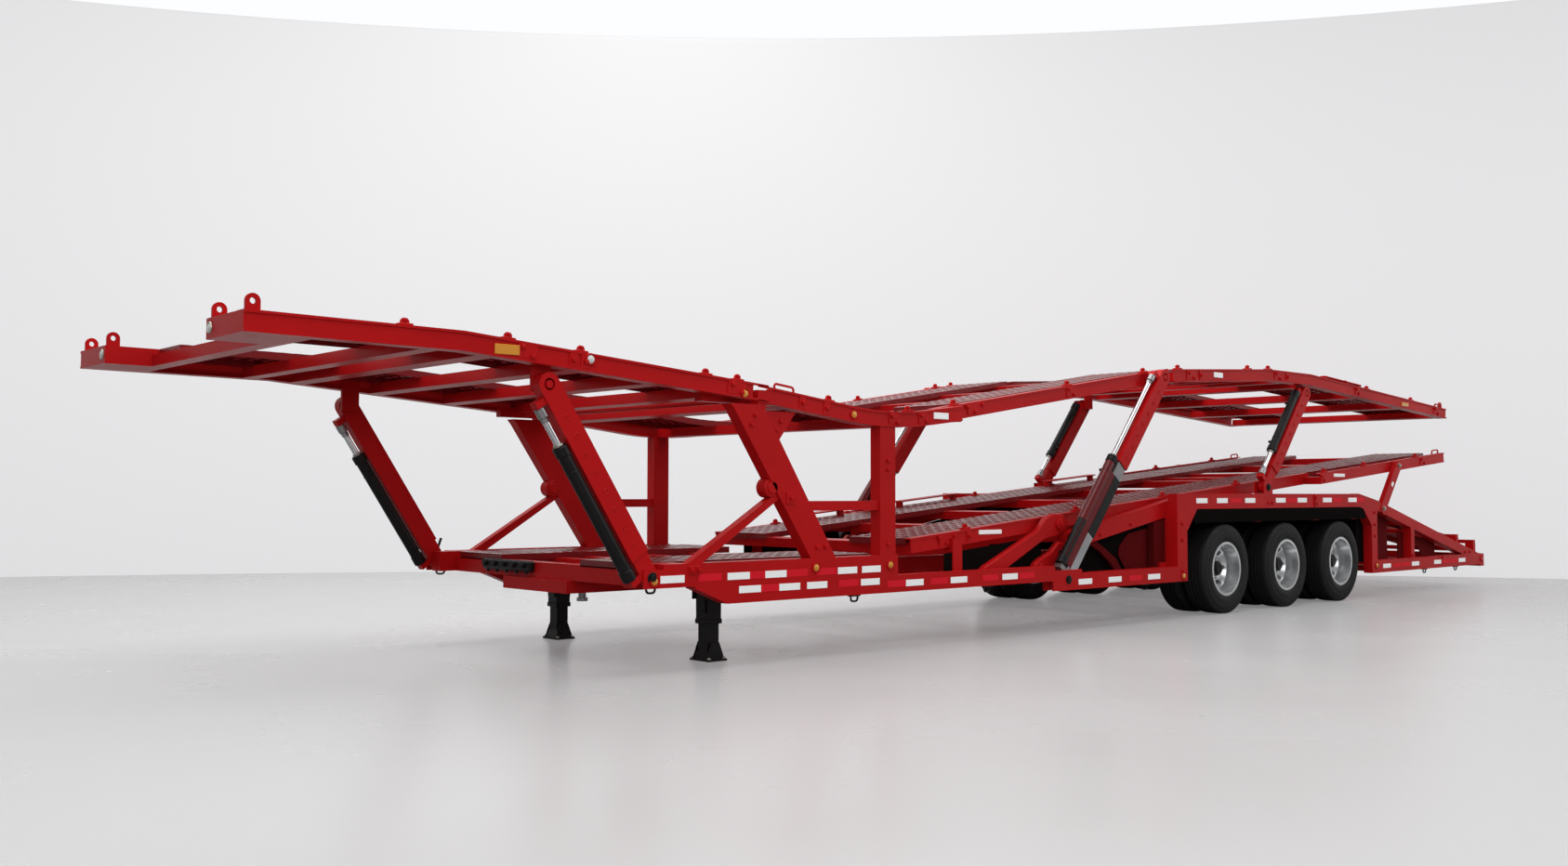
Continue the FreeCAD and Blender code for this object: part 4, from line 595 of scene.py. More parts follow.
class TRAILER_OT_finishes(bpy.types.Operator):
    """Makes every material and gives the frame's own parts theirs"""
    bl_idname = "trailer.finishes"
    bl_label = "Finishes"

    def execute(self, context):
        tones = context.scene.trailer_colours
        GROUPS.update(weathered=weathered_group(), streaks=streak_group(), cells=reflector_group())
        dust = (0.20, 0.12, 0.10)
        finish("red_paint", "weathered", color=tones.frame_red, dust=dust, dust_amount=0.02, scale=1.6,
               smooth=0.26, dull=0.42, specular_ior_level=0.10, coat_weight=0.02, coat_roughness=0.1)
        finish("track_paint", "weathered", color=tones.track_red, dust=dust, dust_amount=0.07, scale=5.0,
               smooth=0.14, dull=0.38, bump=0.15, specular_ior_level=0.25, coat_weight=0.12,
               coat_roughness=0.12)
        finish("black_paint", "weathered", color=tones.black, dust=dust, dust_amount=0.04, scale=3.0,
               smooth=0.28, dull=0.5, specular_ior_level=0.2)
        finish("dark_red_gloss", "weathered", color=tones.dark_red, dust=dust, dust_amount=0.02,
               scale=3.0, smooth=0.12, dull=0.26, specular_ior_level=0.3, coat_weight=0.12,
               coat_roughness=0.05)
        # Painted shade: the red paint made darker and duller for parts that lie in shade.
        finish("shaded_red", "weathered", color=tones.shaded_red, dust=dust, dust_amount=0.05, scale=3.0,
               smooth=0.5, dull=0.8, specular_ior_level=0.02)
        # Painted shade: a near-black finish that hardly reflects, for the sheets that fill the dark round the
        # wheels.
        finish("liner_black", "weathered", color=tones.shade_black_tone, dust=dust, dust_amount=0.03, scale=3.0,
               smooth=0.7, dull=0.9, specular_ior_level=0.01)
        finish("tyre_rubber", "weathered", color=tones.rubber, dust=(0.08, 0.075, 0.07),
               dust_amount=0.14, scale=7.0, smooth=0.55, dull=0.75, bump=0.12, distance=0.001,
               specular_ior_level=0.25)
        finish("silver_paint", "weathered", color=tones.silver, dust=(0.3, 0.29, 0.28), dust_amount=0.05,
               scale=6.0, smooth=0.14, dull=0.26, metallic=0.7)
        finish("chrome", "streaks", color=tones.chrome, stain=(0.3, 0.3, 0.3), stain_amount=0.15,
               smooth=0.05, dull=0.14, metallic=1.0)
        finish("bare_steel", "streaks", color=tones.steel, stain=(0.14, 0.09, 0.07), stain_amount=0.5,
               smooth=0.22, dull=0.5, bump=0.06, metallic=0.9)
        finish("zinc", "streaks", color=tones.zinc, stain=(0.25, 0.2, 0.1), stain_amount=0.3,
               smooth=0.25, dull=0.45, metallic=0.8)
        for lens, tone, roughness, coat, coat_roughness in (
                ("amber_lens", tones.amber, 0.15, 0.6, 0.05), ("clear_lens", tones.clear, 0.1, 0.8, 0.04),
                ("red_lens", tones.tape_red, 0.15, 0.6, 0.05)):
            finish(lens, "cells", color=tone, scale=160.0, bump=0.3, roughness=roughness,
                   coat_weight=coat, coat_roughness=coat_roughness)
        # Both tapes give out a faint light of their own: a painted glow, though they are no lamps.
        finish("white_tape", "cells", color=tones.tape_white, scale=110.0, bump=0.1, roughness=0.32,
               emission_color=(1, 1, 1), emission_strength=0.2)
        finish("red_tape", "cells", color=tones.tape_red, scale=110.0, bump=0.1, roughness=0.5,
               specular_ior_level=0.08, emission_color=tones.tape_red, emission_strength=0.1)
        for part in RECORD["subparts"]:
            node = NODES[part["node"]]
            for slot in node.material_slots:
                slot.material = FINISH[part["material_slot"]]
            if not node.material_slots:
                node.data.materials.append(FINISH[part["material_slot"]])
        return {"FINISHED"}


class TRAILER_OT_tracks(bpy.types.Operator):
    """Perforated wheel tracks of every deck, with folded edges"""
    bl_idname = "trailer.tracks"
    bl_label = "Wheel tracks"

    def execute(self, context):
        for deck, body in {"platform": "chassis", "tail": "chassis", **BODIES}.items():
            node = deck + "_tracks"
            sides = [abs(point.co.y) for point in NODES[node].data.vertices]
            piece = self.sheet(context.scene.trailer_sizes, track_line(deck), -max(sides), -min(sides))
            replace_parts(keep_pair(piece, deck + "_wheel_tracks", body, "track_paint", 25), node)
        return {"FINISHED"}

    def sheet(self, sizes, line, y_from, y_to):
        """One pressed sheet from y_from to y_to that lies along a deck's line."""
        slack = 0.0005
        start, end = line[0][0], line[-1][0]
        across = round((y_to - y_from) / sizes.hole_pitch)
        along = round((end - start) / sizes.hole_pitch)
        pitch_x, pitch_y = (end - start) / along, (y_to - y_from) / across
        middle = Vector((start + pitch_x / 2, y_from + pitch_y / 2, 0))
        piece = rectangle(middle, (pitch_x, pitch_y))
        bpy.ops.mesh.subdivide(number_cuts=1)
        pick_vertices(piece, lambda point: (point - middle).length < slack)
        bpy.ops.mesh.delete(type="VERT")
        bpy.ops.mesh.primitive_circle_add(vertices=8, radius=sizes.hole_radius, location=middle)
        select_all()
        bpy.ops.mesh.bridge_edge_loops()

        def rim(point):
            return (point - middle).length < sizes.hole_radius * 1.05

        pick_vertices(piece, rim)
        bpy.ops.transform.translate(value=(0, 0, sizes.dimple))
        # The wall of each hole runs down from its raised rim, to below the sheet.
        pick_edges(piece, lambda a, b: rim(a) and rim(b))
        bpy.ops.mesh.extrude_edges_move(TRANSFORM_OT_translate={"value": (0, 0, -3 * sizes.dimple)})
        done()
        for count, step in ((along, (pitch_x, 0, 0)), (across, (0, pitch_y, 0))):
            array = piece.modifiers.new("Row", "ARRAY")
            array.count = count
            array.use_relative_offset = False
            array.use_constant_offset = True
            array.constant_offset_displace = step
            array.use_merge_vertices = True
            array.merge_threshold = slack
            bpy.ops.object.modifier_apply(modifier="Row")
        edges = ((0, start), (0, end), (1, y_from), (1, y_to))
        pick_edges(piece, lambda a, b: any(abs(a[axis] - place) < slack and abs(b[axis] - place) < slack
                                           for axis, place in edges))
        bpy.ops.mesh.extrude_edges_move(TRANSFORM_OT_translate={"value": (0, 0, -sizes.track_lip)})
        face_out()
        done()
        for point in piece.data.vertices:
            point.co.z += height(line, point.co.x)
        return piece


class TRAILER_OT_rail_lips(bpy.types.Operator):
    """Lips along the upper and lower edges of the deck rails"""
    bl_idname = "trailer.rail_lips"
    bl_label = "Rail lips"

    def execute(self, context):
        sizes = context.scene.trailer_sizes
        sunk = 0.002
        for deck, body in BODIES.items():
            line = LINES[deck]
            pieces = []
            for _, _, start, end, face, proud in (run for run in RUNS if run[0] == deck):
                start, end = max(start, line[0][0]), min(end, line[-1][0])
                places = [start] + [x for x, _ in line if start < x < end] + [end]
                for drop in (sizes.lip_height / 2, RAIL_DEPTH - sizes.lip_height / 2):
                    points = [(x, -face - (proud - sunk) / 2, height(line, x) - drop) for x in places]
                    pieces.append(bar_along(points, proud + sunk, sizes.lip_height))
            keep_pair(joined(pieces), deck + "_rail_lips", body)
        return {"FINISHED"}


# Fish plates on the rails of each deck: the middle of each along X, its length and its bolts in a row.
FISH_PLATES = {
    "front_deck": ((-5.56, 0.12, 2), (-5.27, 0.05, 1), (-5.19, 0.06, 1), (-4.10, 0.14, 2)),
    "bridge": ((-3.56, 0.05, 1), (-3.35, 0.05, 1), (-2.72, 0.10, 2), (-2.43, 0.10, 2)),
    "mid_deck": ((-1.76, 0.16, 3), (-0.6, 0.12, 2)),
    "leaf_deck": ((0.95, 0.14, 2), (1.10, 0.04, 1), (2.42, 0.12, 2), (2.60, 0.05, 1), (4.0, 0.08, 2),
                  (5.85, 0.12, 2)),
    "tilt_deck": ((-1.95, 0.16, 3), (-1.70, 0.05, 1), (3.356, 0.08, 2), (5.6, 0.12, 2)),
}


class TRAILER_OT_fish_plates(bpy.types.Operator):
    """Joint plates and stiffeners on the deck rails, each with its bolts"""
    bl_idname = "trailer.fish_plates"
    bl_label = "Joint plates"

    def execute(self, context):
        sizes = context.scene.trailer_sizes
        bolt = bolt_model(sizes.bolt_radius)
        thick, proud, stagger = 0.010, 0.008, 0.022
        for deck, body in BODIES.items():
            plates, places = [], []
            for x, long, bolts in FISH_PLATES[deck]:
                middle = height(LINES[deck], x) - RAIL_DEPTH / 2
                slope, face = slope_at(deck, x), -face_at(deck, x) - proud
                size = (long, thick, RAIL_DEPTH - 2 * sizes.lip_height)
                plates.append(block((x, face + thick / 2, middle), size, 0.002, (0, -slope, 0)))
                for count in range(bolts):
                    shift = (count - (bolts - 1) / 2) * long / 2
                    rise = stagger * (-1) ** count if bolts > 1 else 0
                    places.append((x + shift, face, middle + rise + shift * math.tan(slope)))
            keep_pair(joined(plates), deck + "_joint_plates", body)
            keep_pair(copied(bolt, places), deck + "_joint_bolts", body, smooth=30)
        discard(bolt)
        return {"FINISHED"}


# One row per round marker lamp: its body, its place on the left side and its lens.
ROUND_LAMPS = (
    ("front_deck", (-4.04, -1.308, 1.655), "amber_lens"), ("front_deck", (-5.16, -1.308, 1.79), "clear_lens"),
    ("chassis", (-3.10, -1.302, 1.565), "amber_lens"), ("chassis", (-4.71, -1.302, 0.545), "amber_lens"),
    ("chassis", (-3.44, -1.302, 0.58), "amber_lens"), ("chassis", (-2.76, -1.302, 0.575), "amber_lens"),
    ("chassis", (0.80, -1.302, 0.36), "amber_lens"), ("chassis", (4.37, -1.302, 0.325), "amber_lens"),
    ("chassis", (7.0, -1.302, 0.31), "red_lens"),
)


class TRAILER_OT_lamps(bpy.types.Operator):
    """Round marker lamps along the sides, and the lamps at the front end"""
    bl_idname = "trailer.lamps"
    bl_label = "Lamps"

    def execute(self, context):
        radius = context.scene.trailer_sizes.lamp_radius
        ring_model(radius, radius * 0.2, 20, 6)
        ring = upper_half(1.4)
        clear_selection()
        bpy.ops.mesh.primitive_uv_sphere_add(segments=20, ring_count=10, radius=radius * 0.8)
        lens = upper_half(0.55)
        for body in ("front_deck", "chassis"):
            rows = [row for row in ROUND_LAMPS if row[0] == body]
            keep_pair(copied(ring, [place for _, place, _ in rows]), body + "_lamp_bezels", body)
            for tone in sorted({row[2] for row in rows}):
                places = [place for _, place, row_tone in rows if row_tone == tone]
                keep_pair(copied(lens, places), "%s_%s" % (body, tone), body, tone)
        horn = (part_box("front_deck_frame")[0][0] - 0.001, -0.87, 1.85)
        for model, name, material in ((ring, "bezels", "zinc"), (lens, "lenses", "clear_lens")):
            lamp = copied(model, [horn], (0, -QUARTER, 0), (0.85, 0.85, 0.85))
            keep_pair(lamp, "horn_lamp_" + name, "front_deck", material)
        discard(ring, lens)
        return {"FINISHED"}


# One row per flat reflector: body, x, z, outer face, length, height and finish.
REFLECTORS = (
    ("front_deck", -5.684, 1.808, 1.3005, 0.15, 0.055, "amber_lens"),
    ("chassis", -2.25, 1.588, 1.3005, 0.15, 0.045, "white_tape"),
    ("tilt_deck", -1.46, 0.765, 1.081, 0.26, 0.032, "white_tape"),
    ("tilt_deck", 3.69, 1.232, 1.251, 0.22, 0.032, "white_tape"),
    ("leaf_deck", 1.383, 2.085, 1.3005, 0.14, 0.045, "white_tape"),
    ("leaf_deck", 5.077, 1.990, 1.3005, 0.16, 0.04, "amber_lens"),
)
# One row per run of reflective tape: z, and the middles of its white and its red patches.
TAPES = (
    (0.553, (-4.58, -4.08, -3.78, -3.16, -2.94), (-4.30, -3.93, -3.60, -3.35)),
    (0.470, (-3.99, -3.665, -3.43, -2.95), (-3.83, -3.15)),
    (0.447, (-2.52, -2.065, -1.50), (-2.70, -2.27, -1.72, -1.30)),
    (0.372, (-0.582, -0.187, 0.362), (0.10,)),
    (0.990, (1.10, 1.43, 1.90, 2.447, 2.85, 3.343, 3.863), (1.66, 2.65, 3.56, 4.02)),
    (0.314, (4.60, 5.27, 5.82, 6.46), (4.85, 5.05, 6.05, 6.25)),
)


class TRAILER_OT_reflectors(bpy.types.Operator):
    """Reflective tape on the lower frame and flat reflectors on the decks; the faint glow of the tape is painted
    light
    """
    bl_idname = "trailer.reflectors"
    bl_label = "Reflectors and tape"

    def execute(self, context):
        sizes = context.scene.trailer_sizes
        patch = block((0, 0, 0), (sizes.tape_length, 0.002, sizes.tape_height), 0.0006)
        # The white patches stand a little further out, because their ends overlap the red ones.
        for tape, column, face in (("white_tape", 1, -1.3011), ("red_tape", 2, -1.3005)):
            places = [(x, face, row[0]) for row in TAPES for x in row[column]]
            keep_pair(copied(patch, places, UPRIGHT), tape + "_patches", "chassis", tape)
        discard(patch)
        for count, (body, x, z, face, long, high, material) in enumerate(REFLECTORS):
            plate = block((x, -face - 0.004, z), (long, 0.010, high), 0.003)
            keep_pair(plate, "%s_reflector_%d" % (body, count), body, material)
        return {"FINISHED"}


class Lift:
    """The left side of a lift, measured along and across the line of its cylinder."""

    def __init__(self, name):
        self.name = name
        self.foot = Vector(JOINTS[name + "_swing"]["pos_m"])
        self.axis = Vector(JOINTS[name + "_extend"]["axis"]).normalized()
        self.across = Vector((-self.axis.z, 0, self.axis.x))
        self.turn = (0, math.atan2(self.axis.x, self.axis.z), 0)

    def points(self, part):
        return [point.co for point in NODES[self.name + part].data.vertices if point.co.y < 0]

    def span(self, part, way):
        """Where a part starts and ends in a direction from the foot."""
        reach = [(point - self.foot).dot(way) for point in self.points(part)]
        return min(reach), max(reach)

    def faces(self, part):
        """Outer and inner face of a part, in Y."""
        depth = [point.y for point in self.points(part)]
        return min(depth), max(depth)

    def spot(self, distance, beside, y):
        """The place at a distance along the line and another beside it."""
        place = self.foot + self.axis * distance + self.across * beside
        return (place.x, y, place.z)


class TRAILER_OT_lift_fittings(bpy.types.Operator):
    """Collars, ports, rod ends and foot nuts of the lifts, and the hole rims of their sleeves"""
    bl_idname = "trailer.lift_fittings"
    bl_label = "Lift fittings"

    def execute(self, context):
        for name in ("front_lift", "long_lift", "rear_lift"):
            lift = Lift(name)
            barrel, rod = lift.span("_barrels", lift.axis), lift.span("_rods", lift.axis)
            beside = middle_of(lift.span("_barrels", lift.across))
            y = middle_of(lift.faces("_barrels"))
            # The barrel's closed end and its mouth, the rod's far end, and the way from closed end to mouth.
            if barrel[0] < rod[0]:
                (end, mouth), rod_end, way = barrel, rod[1], 1
            else:
                (mouth, end), rod_end, way = barrel, rod[0], -1

            def along(distance, radius, depth, sides, chamfer):
                return drum(lift.spot(distance, beside, y), radius, depth, lift.turn, sides, chamfer)

            collars = [along(mouth - way * 0.03, 0.043, 0.06, 20, 0.005),
                       along(end + way * 0.035, 0.042, 0.07, 20, 0.005),
                       along(mouth - way * 0.16, 0.040, 0.012, 20, 0.005)]
            for distance in (barrel[0] + 0.12, barrel[1] - 0.14):
                port = lift.spot(distance, beside, y + 0.045)
                collars.append(drum(port, 0.013, 0.035, LEFT, 12, 0.002))
            keep_pair(joined(collars), name + "_collars", RIDES[name + "_barrels"], "black_paint")
            clevis = [along(rod_end - way * 0.03, 0.030, 0.06, 16, 0.004),
                      along(rod_end - way * 0.075, 0.024, 0.03, 6, 0.003)]
            keep_pair(joined(clevis), name + "_rod_ends", RIDES[name + "_rods"], "bare_steel")
            wiper = along(mouth + way * 0.008, 0.030, 0.016, 20, 0.004)
            keep_pair(wiper, name + "_wipers", RIDES[name + "_barrels"], "zinc")
            self.hole_rims(lift)
            x, _, z = lift.foot
            nut = joined([drum((x, -1.302, z), 0.034, 0.008, LEFT, 24, 0.002),
                          drum((x, -1.310, z), 0.022, 0.014, LEFT, 6, 0.002)])
            keep_pair(nut, name + "_foot_nuts", "chassis", "black_paint")
        return {"FINISHED"}

    def hole_rims(self, lift):
        """Rims of the row of locking holes up the outer face of a lift's sleeve."""
        pitch, low_margin, high_margin = 0.12, 0.08, 0.2
        start, end = lift.span("_sleeves", lift.axis)
        face = lift.faces("_sleeves")[0] - 0.0005
        ring = ring_model(0.013, 0.003, 12, 4)
        places = []
        distance = start + low_margin
        while distance < end - high_margin:
            places.append(lift.spot(distance, 0, face))
            distance += pitch
        rims = copied(ring, places)
        discard(ring)
        keep_pair(rims, lift.name + "_hole_rims", RIDES[lift.name + "_sleeves"])


class TRAILER_OT_lift_covers(bpy.types.Operator):
    """Cover strips on the long lift's stems, among them a painted highlight and a painted dark reflection, and the
    painted jackets of its cylinders
    """
    bl_idname = "trailer.lift_covers"
    bl_label = "Lift covers"

    def execute(self, context):
        lift = Lift("long_lift")
        body = RIDES["long_lift_stems"]
        rear, front = lift.span("_stems", lift.across)
        face, inner = lift.faces("_stems")
        start, end = 0.09, lift.span("_sleeves", lift.axis)[0] - 0.13
        # The strips meet along a line up the stem. The bright strip is a painted highlight, and part way up a
        # black strip, a painted dark reflection, takes its place.
        split = rear + 0.42 * (front - rear)
        change = 0.44 * end
        strips = (("stem_covers", start, end, split, front, 0.003, "dark_red_gloss"),
                  ("stem_edges", start, change, rear, split, 0.002, "chrome"),
                  ("stem_rubbers", change, end, rear - 0.006, split + 0.004, 0.006, "black_paint"))
        for name, first, last, low, high, thick, material in strips:
            middle = lift.spot((first + last) / 2, (low + high) / 2, face - thick / 2)
            strip = block(middle, (high - low, thick, last - first), 0.001, lift.turn)
            keep_pair(strip, "long_lift_" + name, body, material, slotted=False)
        thick = 0.003
        middle = lift.spot((start + end) / 2, front + thick / 2, (face + inner) / 2)
        strip = block(middle, (thick, inner - face, end - start), 0.001, lift.turn)
        keep_pair(strip, "long_lift_front_covers", body, "dark_red_gloss")
        low, high = lift.span("_barrels", lift.axis)
        first, last = low + 0.40 * (high - low), high - 0.065
        middle = lift.spot((first + last) / 2, middle_of(lift.span("_barrels", lift.across)),
                           middle_of(lift.faces("_barrels")))
        jacket = drum(middle, 0.0385, last - first, lift.turn, 32, 0.001)
        keep_pair(jacket, "long_lift_jackets", RIDES["long_lift_barrels"], "dark_red_gloss")
        return {"FINISHED"}


class TRAILER_OT_side_bays(bpy.types.Operator):
    """Mudguard shells over the wheels, and the black plates, braces and link arms in the bays ahead of them. The
    black sheets and the braces' dark red are painted shade.
    """
    bl_idname = "trailer.side_bays"
    bl_label = "Mudguards and side bays"

    def execute(self, context):
        # The mudguard shell and the black sheets below and beside it stand in for the dark round the wheels:
        # painted shade.
        # Each plate has its outline in (x, z), its outer face in Y, its thickness and its chamfer.
        guard = sheet_along([(1.06, 0.62), (1.07, 0.74), (1.12, 0.84), (1.22, 0.895), (1.36, 0.908),
                             (3.80, 0.908), (3.94, 0.895), (4.04, 0.84), (4.09, 0.74), (4.10, 0.62)],
                            -1.19, 0.47, 0.005)
        shade_skirt = flat_plate([(1.06, 0.50), (1.06, 0.895), (1.70, 0.935), (4.09, 0.935), (4.09, 0.50)],
                           -0.725, 0.005)
        # A black strip just inside the beam's face: painted shade for the dark recess below the beam.
        shade_valance = flat_plate([(0.98, 0.802), (0.98, 0.925), (4.14, 0.925), (4.14, 0.802)], -1.2995, 0.004)
        flap = block((4.150, -0.955, 0.575), (0.010, 0.470, 0.650), 0.002)
        cheek = flat_plate([(4.12, 0.36), (4.12, 0.92), (4.42, 0.92), (4.42, 0.36)], -1.208, 0.005)
        keep_pair(joined([guard, shade_skirt, shade_valance, flap, cheek]), "mudguards", "chassis", "liner_black")
        # Black plates that close the bays ahead of the wheels, as painted shade.
        shade_plates = [flat_plate([(-0.70, 0.40), (-0.66, 0.605), (0.70, 0.845), (0.70, 0.40)], -1.106, 0.004),
                  flat_plate([(-2.00, 0.40), (-2.00, 0.620), (-0.90, 0.720), (-0.84, 0.40)], -1.106, 0.004)]
        keep_pair(joined(shade_plates), "bay_liners", "chassis", "liner_black")
        # The braces are in the darker red, as painted shade.
        braces = [flat_plate([(-0.34, 0.66), (-0.24, 0.68), (-0.10, 0.61), (0.06, 0.52), (0.13, 0.43),
                              (0.03, 0.43), (-0.04, 0.50), (-0.18, 0.59)], -1.150, 0.030, 0.004),
                  flat_plate([(0.14, 0.62), (0.26, 0.72), (0.54, 0.76), (0.54, 0.43), (0.22, 0.43),
                              (0.12, 0.55)], -1.122, 0.012, 0.003),
                  flat_plate([(0.55, 0.43), (0.55, 0.81), (0.71, 0.84), (0.71, 0.43)], -1.185, 0.070, 0.004)]
        keep_pair(joined(braces), "bay_braces", "chassis", "shaded_red")
        arms = [flat_plate([(-1.72, 0.435), (-1.60, 0.52), (-0.98, 0.77), (-0.88, 0.86), (-0.78, 0.895),
                            (-0.66, 0.885), (-0.60, 0.83), (-0.64, 0.76), (-0.74, 0.72), (-0.90, 0.70),
                            (-1.34, 0.50), (-1.40, 0.435)], -1.160, 0.055, 0.008),
                flat_plate([(-1.06, 0.435), (-1.04, 0.52), (-0.96, 0.56), (-0.84, 0.60), (-0.74, 0.68),
                            (-0.66, 0.66), (-0.68, 0.59), (-0.76, 0.51), (-0.84, 0.435)],
                           -1.175, 0.055, 0.008)]
        for x, z in ((-0.72, 0.815), (-0.98, 0.50)):
            arms.append(drum((x, -1.168, z), 0.045, 0.02, LEFT, 24, 0.004))
            arms.append(drum((x, -1.180, z), 0.020, 0.016, LEFT, 6, 0.003))
        keep_pair(joined(arms), "link_arms", "chassis")
        return {"FINISHED"}


# Places along X of the lugs on the upper edge of each deck's rails.
RAIL_LUGS = {
    "front_deck": (-6.25, -5.66, -5.20, -4.315, -4.068),
    "bridge": (-3.30, -2.55),
    "mid_deck": (-1.95, -0.60, 0.45),
    "leaf_deck": (0.80, 1.944, 2.309, 3.82, 4.28, 5.30),
    "tilt_deck": (-1.70, -0.35, 0.90, 2.10, 3.45, 4.30, 5.50),
}
# One row per loop handle: its deck and where it starts and ends along X.
LOOPS = (("bridge", -3.76, -3.60), ("leaf_deck", 5.92, 6.06), ("tilt_deck", 5.94, 6.09))

# One row per raised flap: its deck, where it starts and ends along X, its middle in Y and its height.
FLAPS = (
    ("tilt_deck", -1.55, -0.95, 1.000, 0.050), ("tilt_deck", -0.25, 0.55, 1.000, 0.050),
    ("tilt_deck", 1.95, 2.75, 1.000, 0.050), ("leaf_deck", 3.36, 4.12, -1.265, 0.022),
    ("leaf_deck", 3.36, 4.12, 1.265, 0.022), ("front_deck", -6.02, -5.70, 1.230, 0.026),
)


class TRAILER_OT_deck_fittings(bpy.types.Operator):
    """Lugs, loop handles and flaps on top of the decks, and a dark sheet of painted shade along the front deck"""
    bl_idname = "trailer.deck_fittings"
    bl_label = "Deck fittings"

    def execute(self, context):
        base = block((0, 0, 0.006), (0.075, 0.050, 0.012), 0.002)
        ear = flat_plate([(-0.024, 0.010), (-0.024, 0.026), (-0.012, 0.040), (0.012, 0.040),
                          (0.024, 0.026), (0.024, 0.010)], -0.007, 0.014, 0.002)
        pin = drum((0, 0, 0.026), 0.008, 0.040, LEFT, 12, 0.001)
        model = joined([base, ear, pin])
        # Lugs and handles stand inward of the rail's outer face by these distances.
        lug_inset, loop_inset = 0.035, 0.04
        for deck, body in BODIES.items():
            lugs = [copied(model, [(x, lug_inset - face_at(deck, x), height(LINES[deck], x))],
                           (0, -slope_at(deck, x), 0)) for x in RAIL_LUGS[deck]]
            keep_pair(joined(lugs), deck + "_lugs", body)
        discard(model)
        foot, top = -0.01, 0.038
        for deck, start, end in LOOPS:
            y = loop_inset - face_at(deck, start)
            low, high = height(LINES[deck], start), height(LINES[deck], end)
            loop = pipe([(start, y, low + foot), (start, y, low + top), (end, y, high + top),
                         (end, y, high + foot)], 0.008, 0.016)
            keep_pair(loop, deck + "_loops", BODIES[deck])
        for deck in ("tilt_deck", "leaf_deck", "front_deck"):
            flaps = [self.flap(*row) for row in FLAPS if row[0] == deck]
            keep(joined(flaps), deck + "_flaps", BODIES[deck])
        # A sheet in the darker track paint runs along the front deck a little below its top. It stands in for the
        # shade under the deck: painted shade.
        drop = 0.030
        line = [(x, height(LINES["front_deck"], x) - drop)
                for x in (-6.79, -6.3, -5.8, -5.3, -4.8, -4.3, -3.99)]
        shade_sheet = sheet_along(line, -1.208, 0.174, 0.004)
        keep_pair(shade_sheet, "front_deck_gutters", "front_deck", "track_paint")
        return {"FINISHED"}

    def flap(self, deck, start, end, y, rise):
        """A plate that stands above a deck on two hinge blocks."""
        middle = (start + end) / 2
        turn = (0, -slope_at(deck, middle), 0)
        wide = 0.110 if abs(y) < 1.1 else 0.060
        hinge = (rise / 2 - 0.004, (0.05, 0.05, rise))
        rows = ((middle, rise, (end - start, wide, 0.012)), (start + 0.03, *hinge), (end - 0.03, *hinge))
        return joined([block((x, y, height(LINES[deck], x) + up), size, 0.004, turn)
                       for x, up, size in rows])


# One row per group of bolts on the chassis' side: x, z, the length and height of its plate, which are 0
# where it has none, and the bolts as (x, z) shifts.
SIDE_PLATES = (
    (-3.95, 1.53, 0, 0, ((0, 0), (-0.03, -0.06))), (-3.72, 1.50, 0, 0, ((0, 0), (-0.035, -0.06))),
    (-3.66, 1.02, 0.07, 0.07, ((0, 0),)), (-4.42, 0.60, 0.09, 0.05, ((-0.025, 0), (0.025, 0))),
    (-3.43, 0.71, 0, 0, ((0, 0), (0.07, 0))), (-2.78, 0.71, 0, 0, ((0, 0), (0, 0.5), (0, 0.56))),
    (-0.22, 0.72, 0, 0, ((0, 0), (0.42, 0.08))), (0.79, 0.80, 0, 0, ((0, 0), (0, -0.14), (0, -0.40))),
    (2.22, 0.965, 0, 0, ((0, 0), (0.07, 0))), (3.10, 0.985, 0.03, 0.12, ((0, 0.03), (0, -0.03))),
    (4.34, 0.62, 0, 0, ((0, 0), (0, 0.12), (0, 0.24))),
    (5.215, 0.40, 0, 0, ((0, 0),)), (6.55, 0.40, 0, 0, ((0, 0), (0.12, 0))), (5.95, 0.36, 0, 0, ((0, 0),)),
)


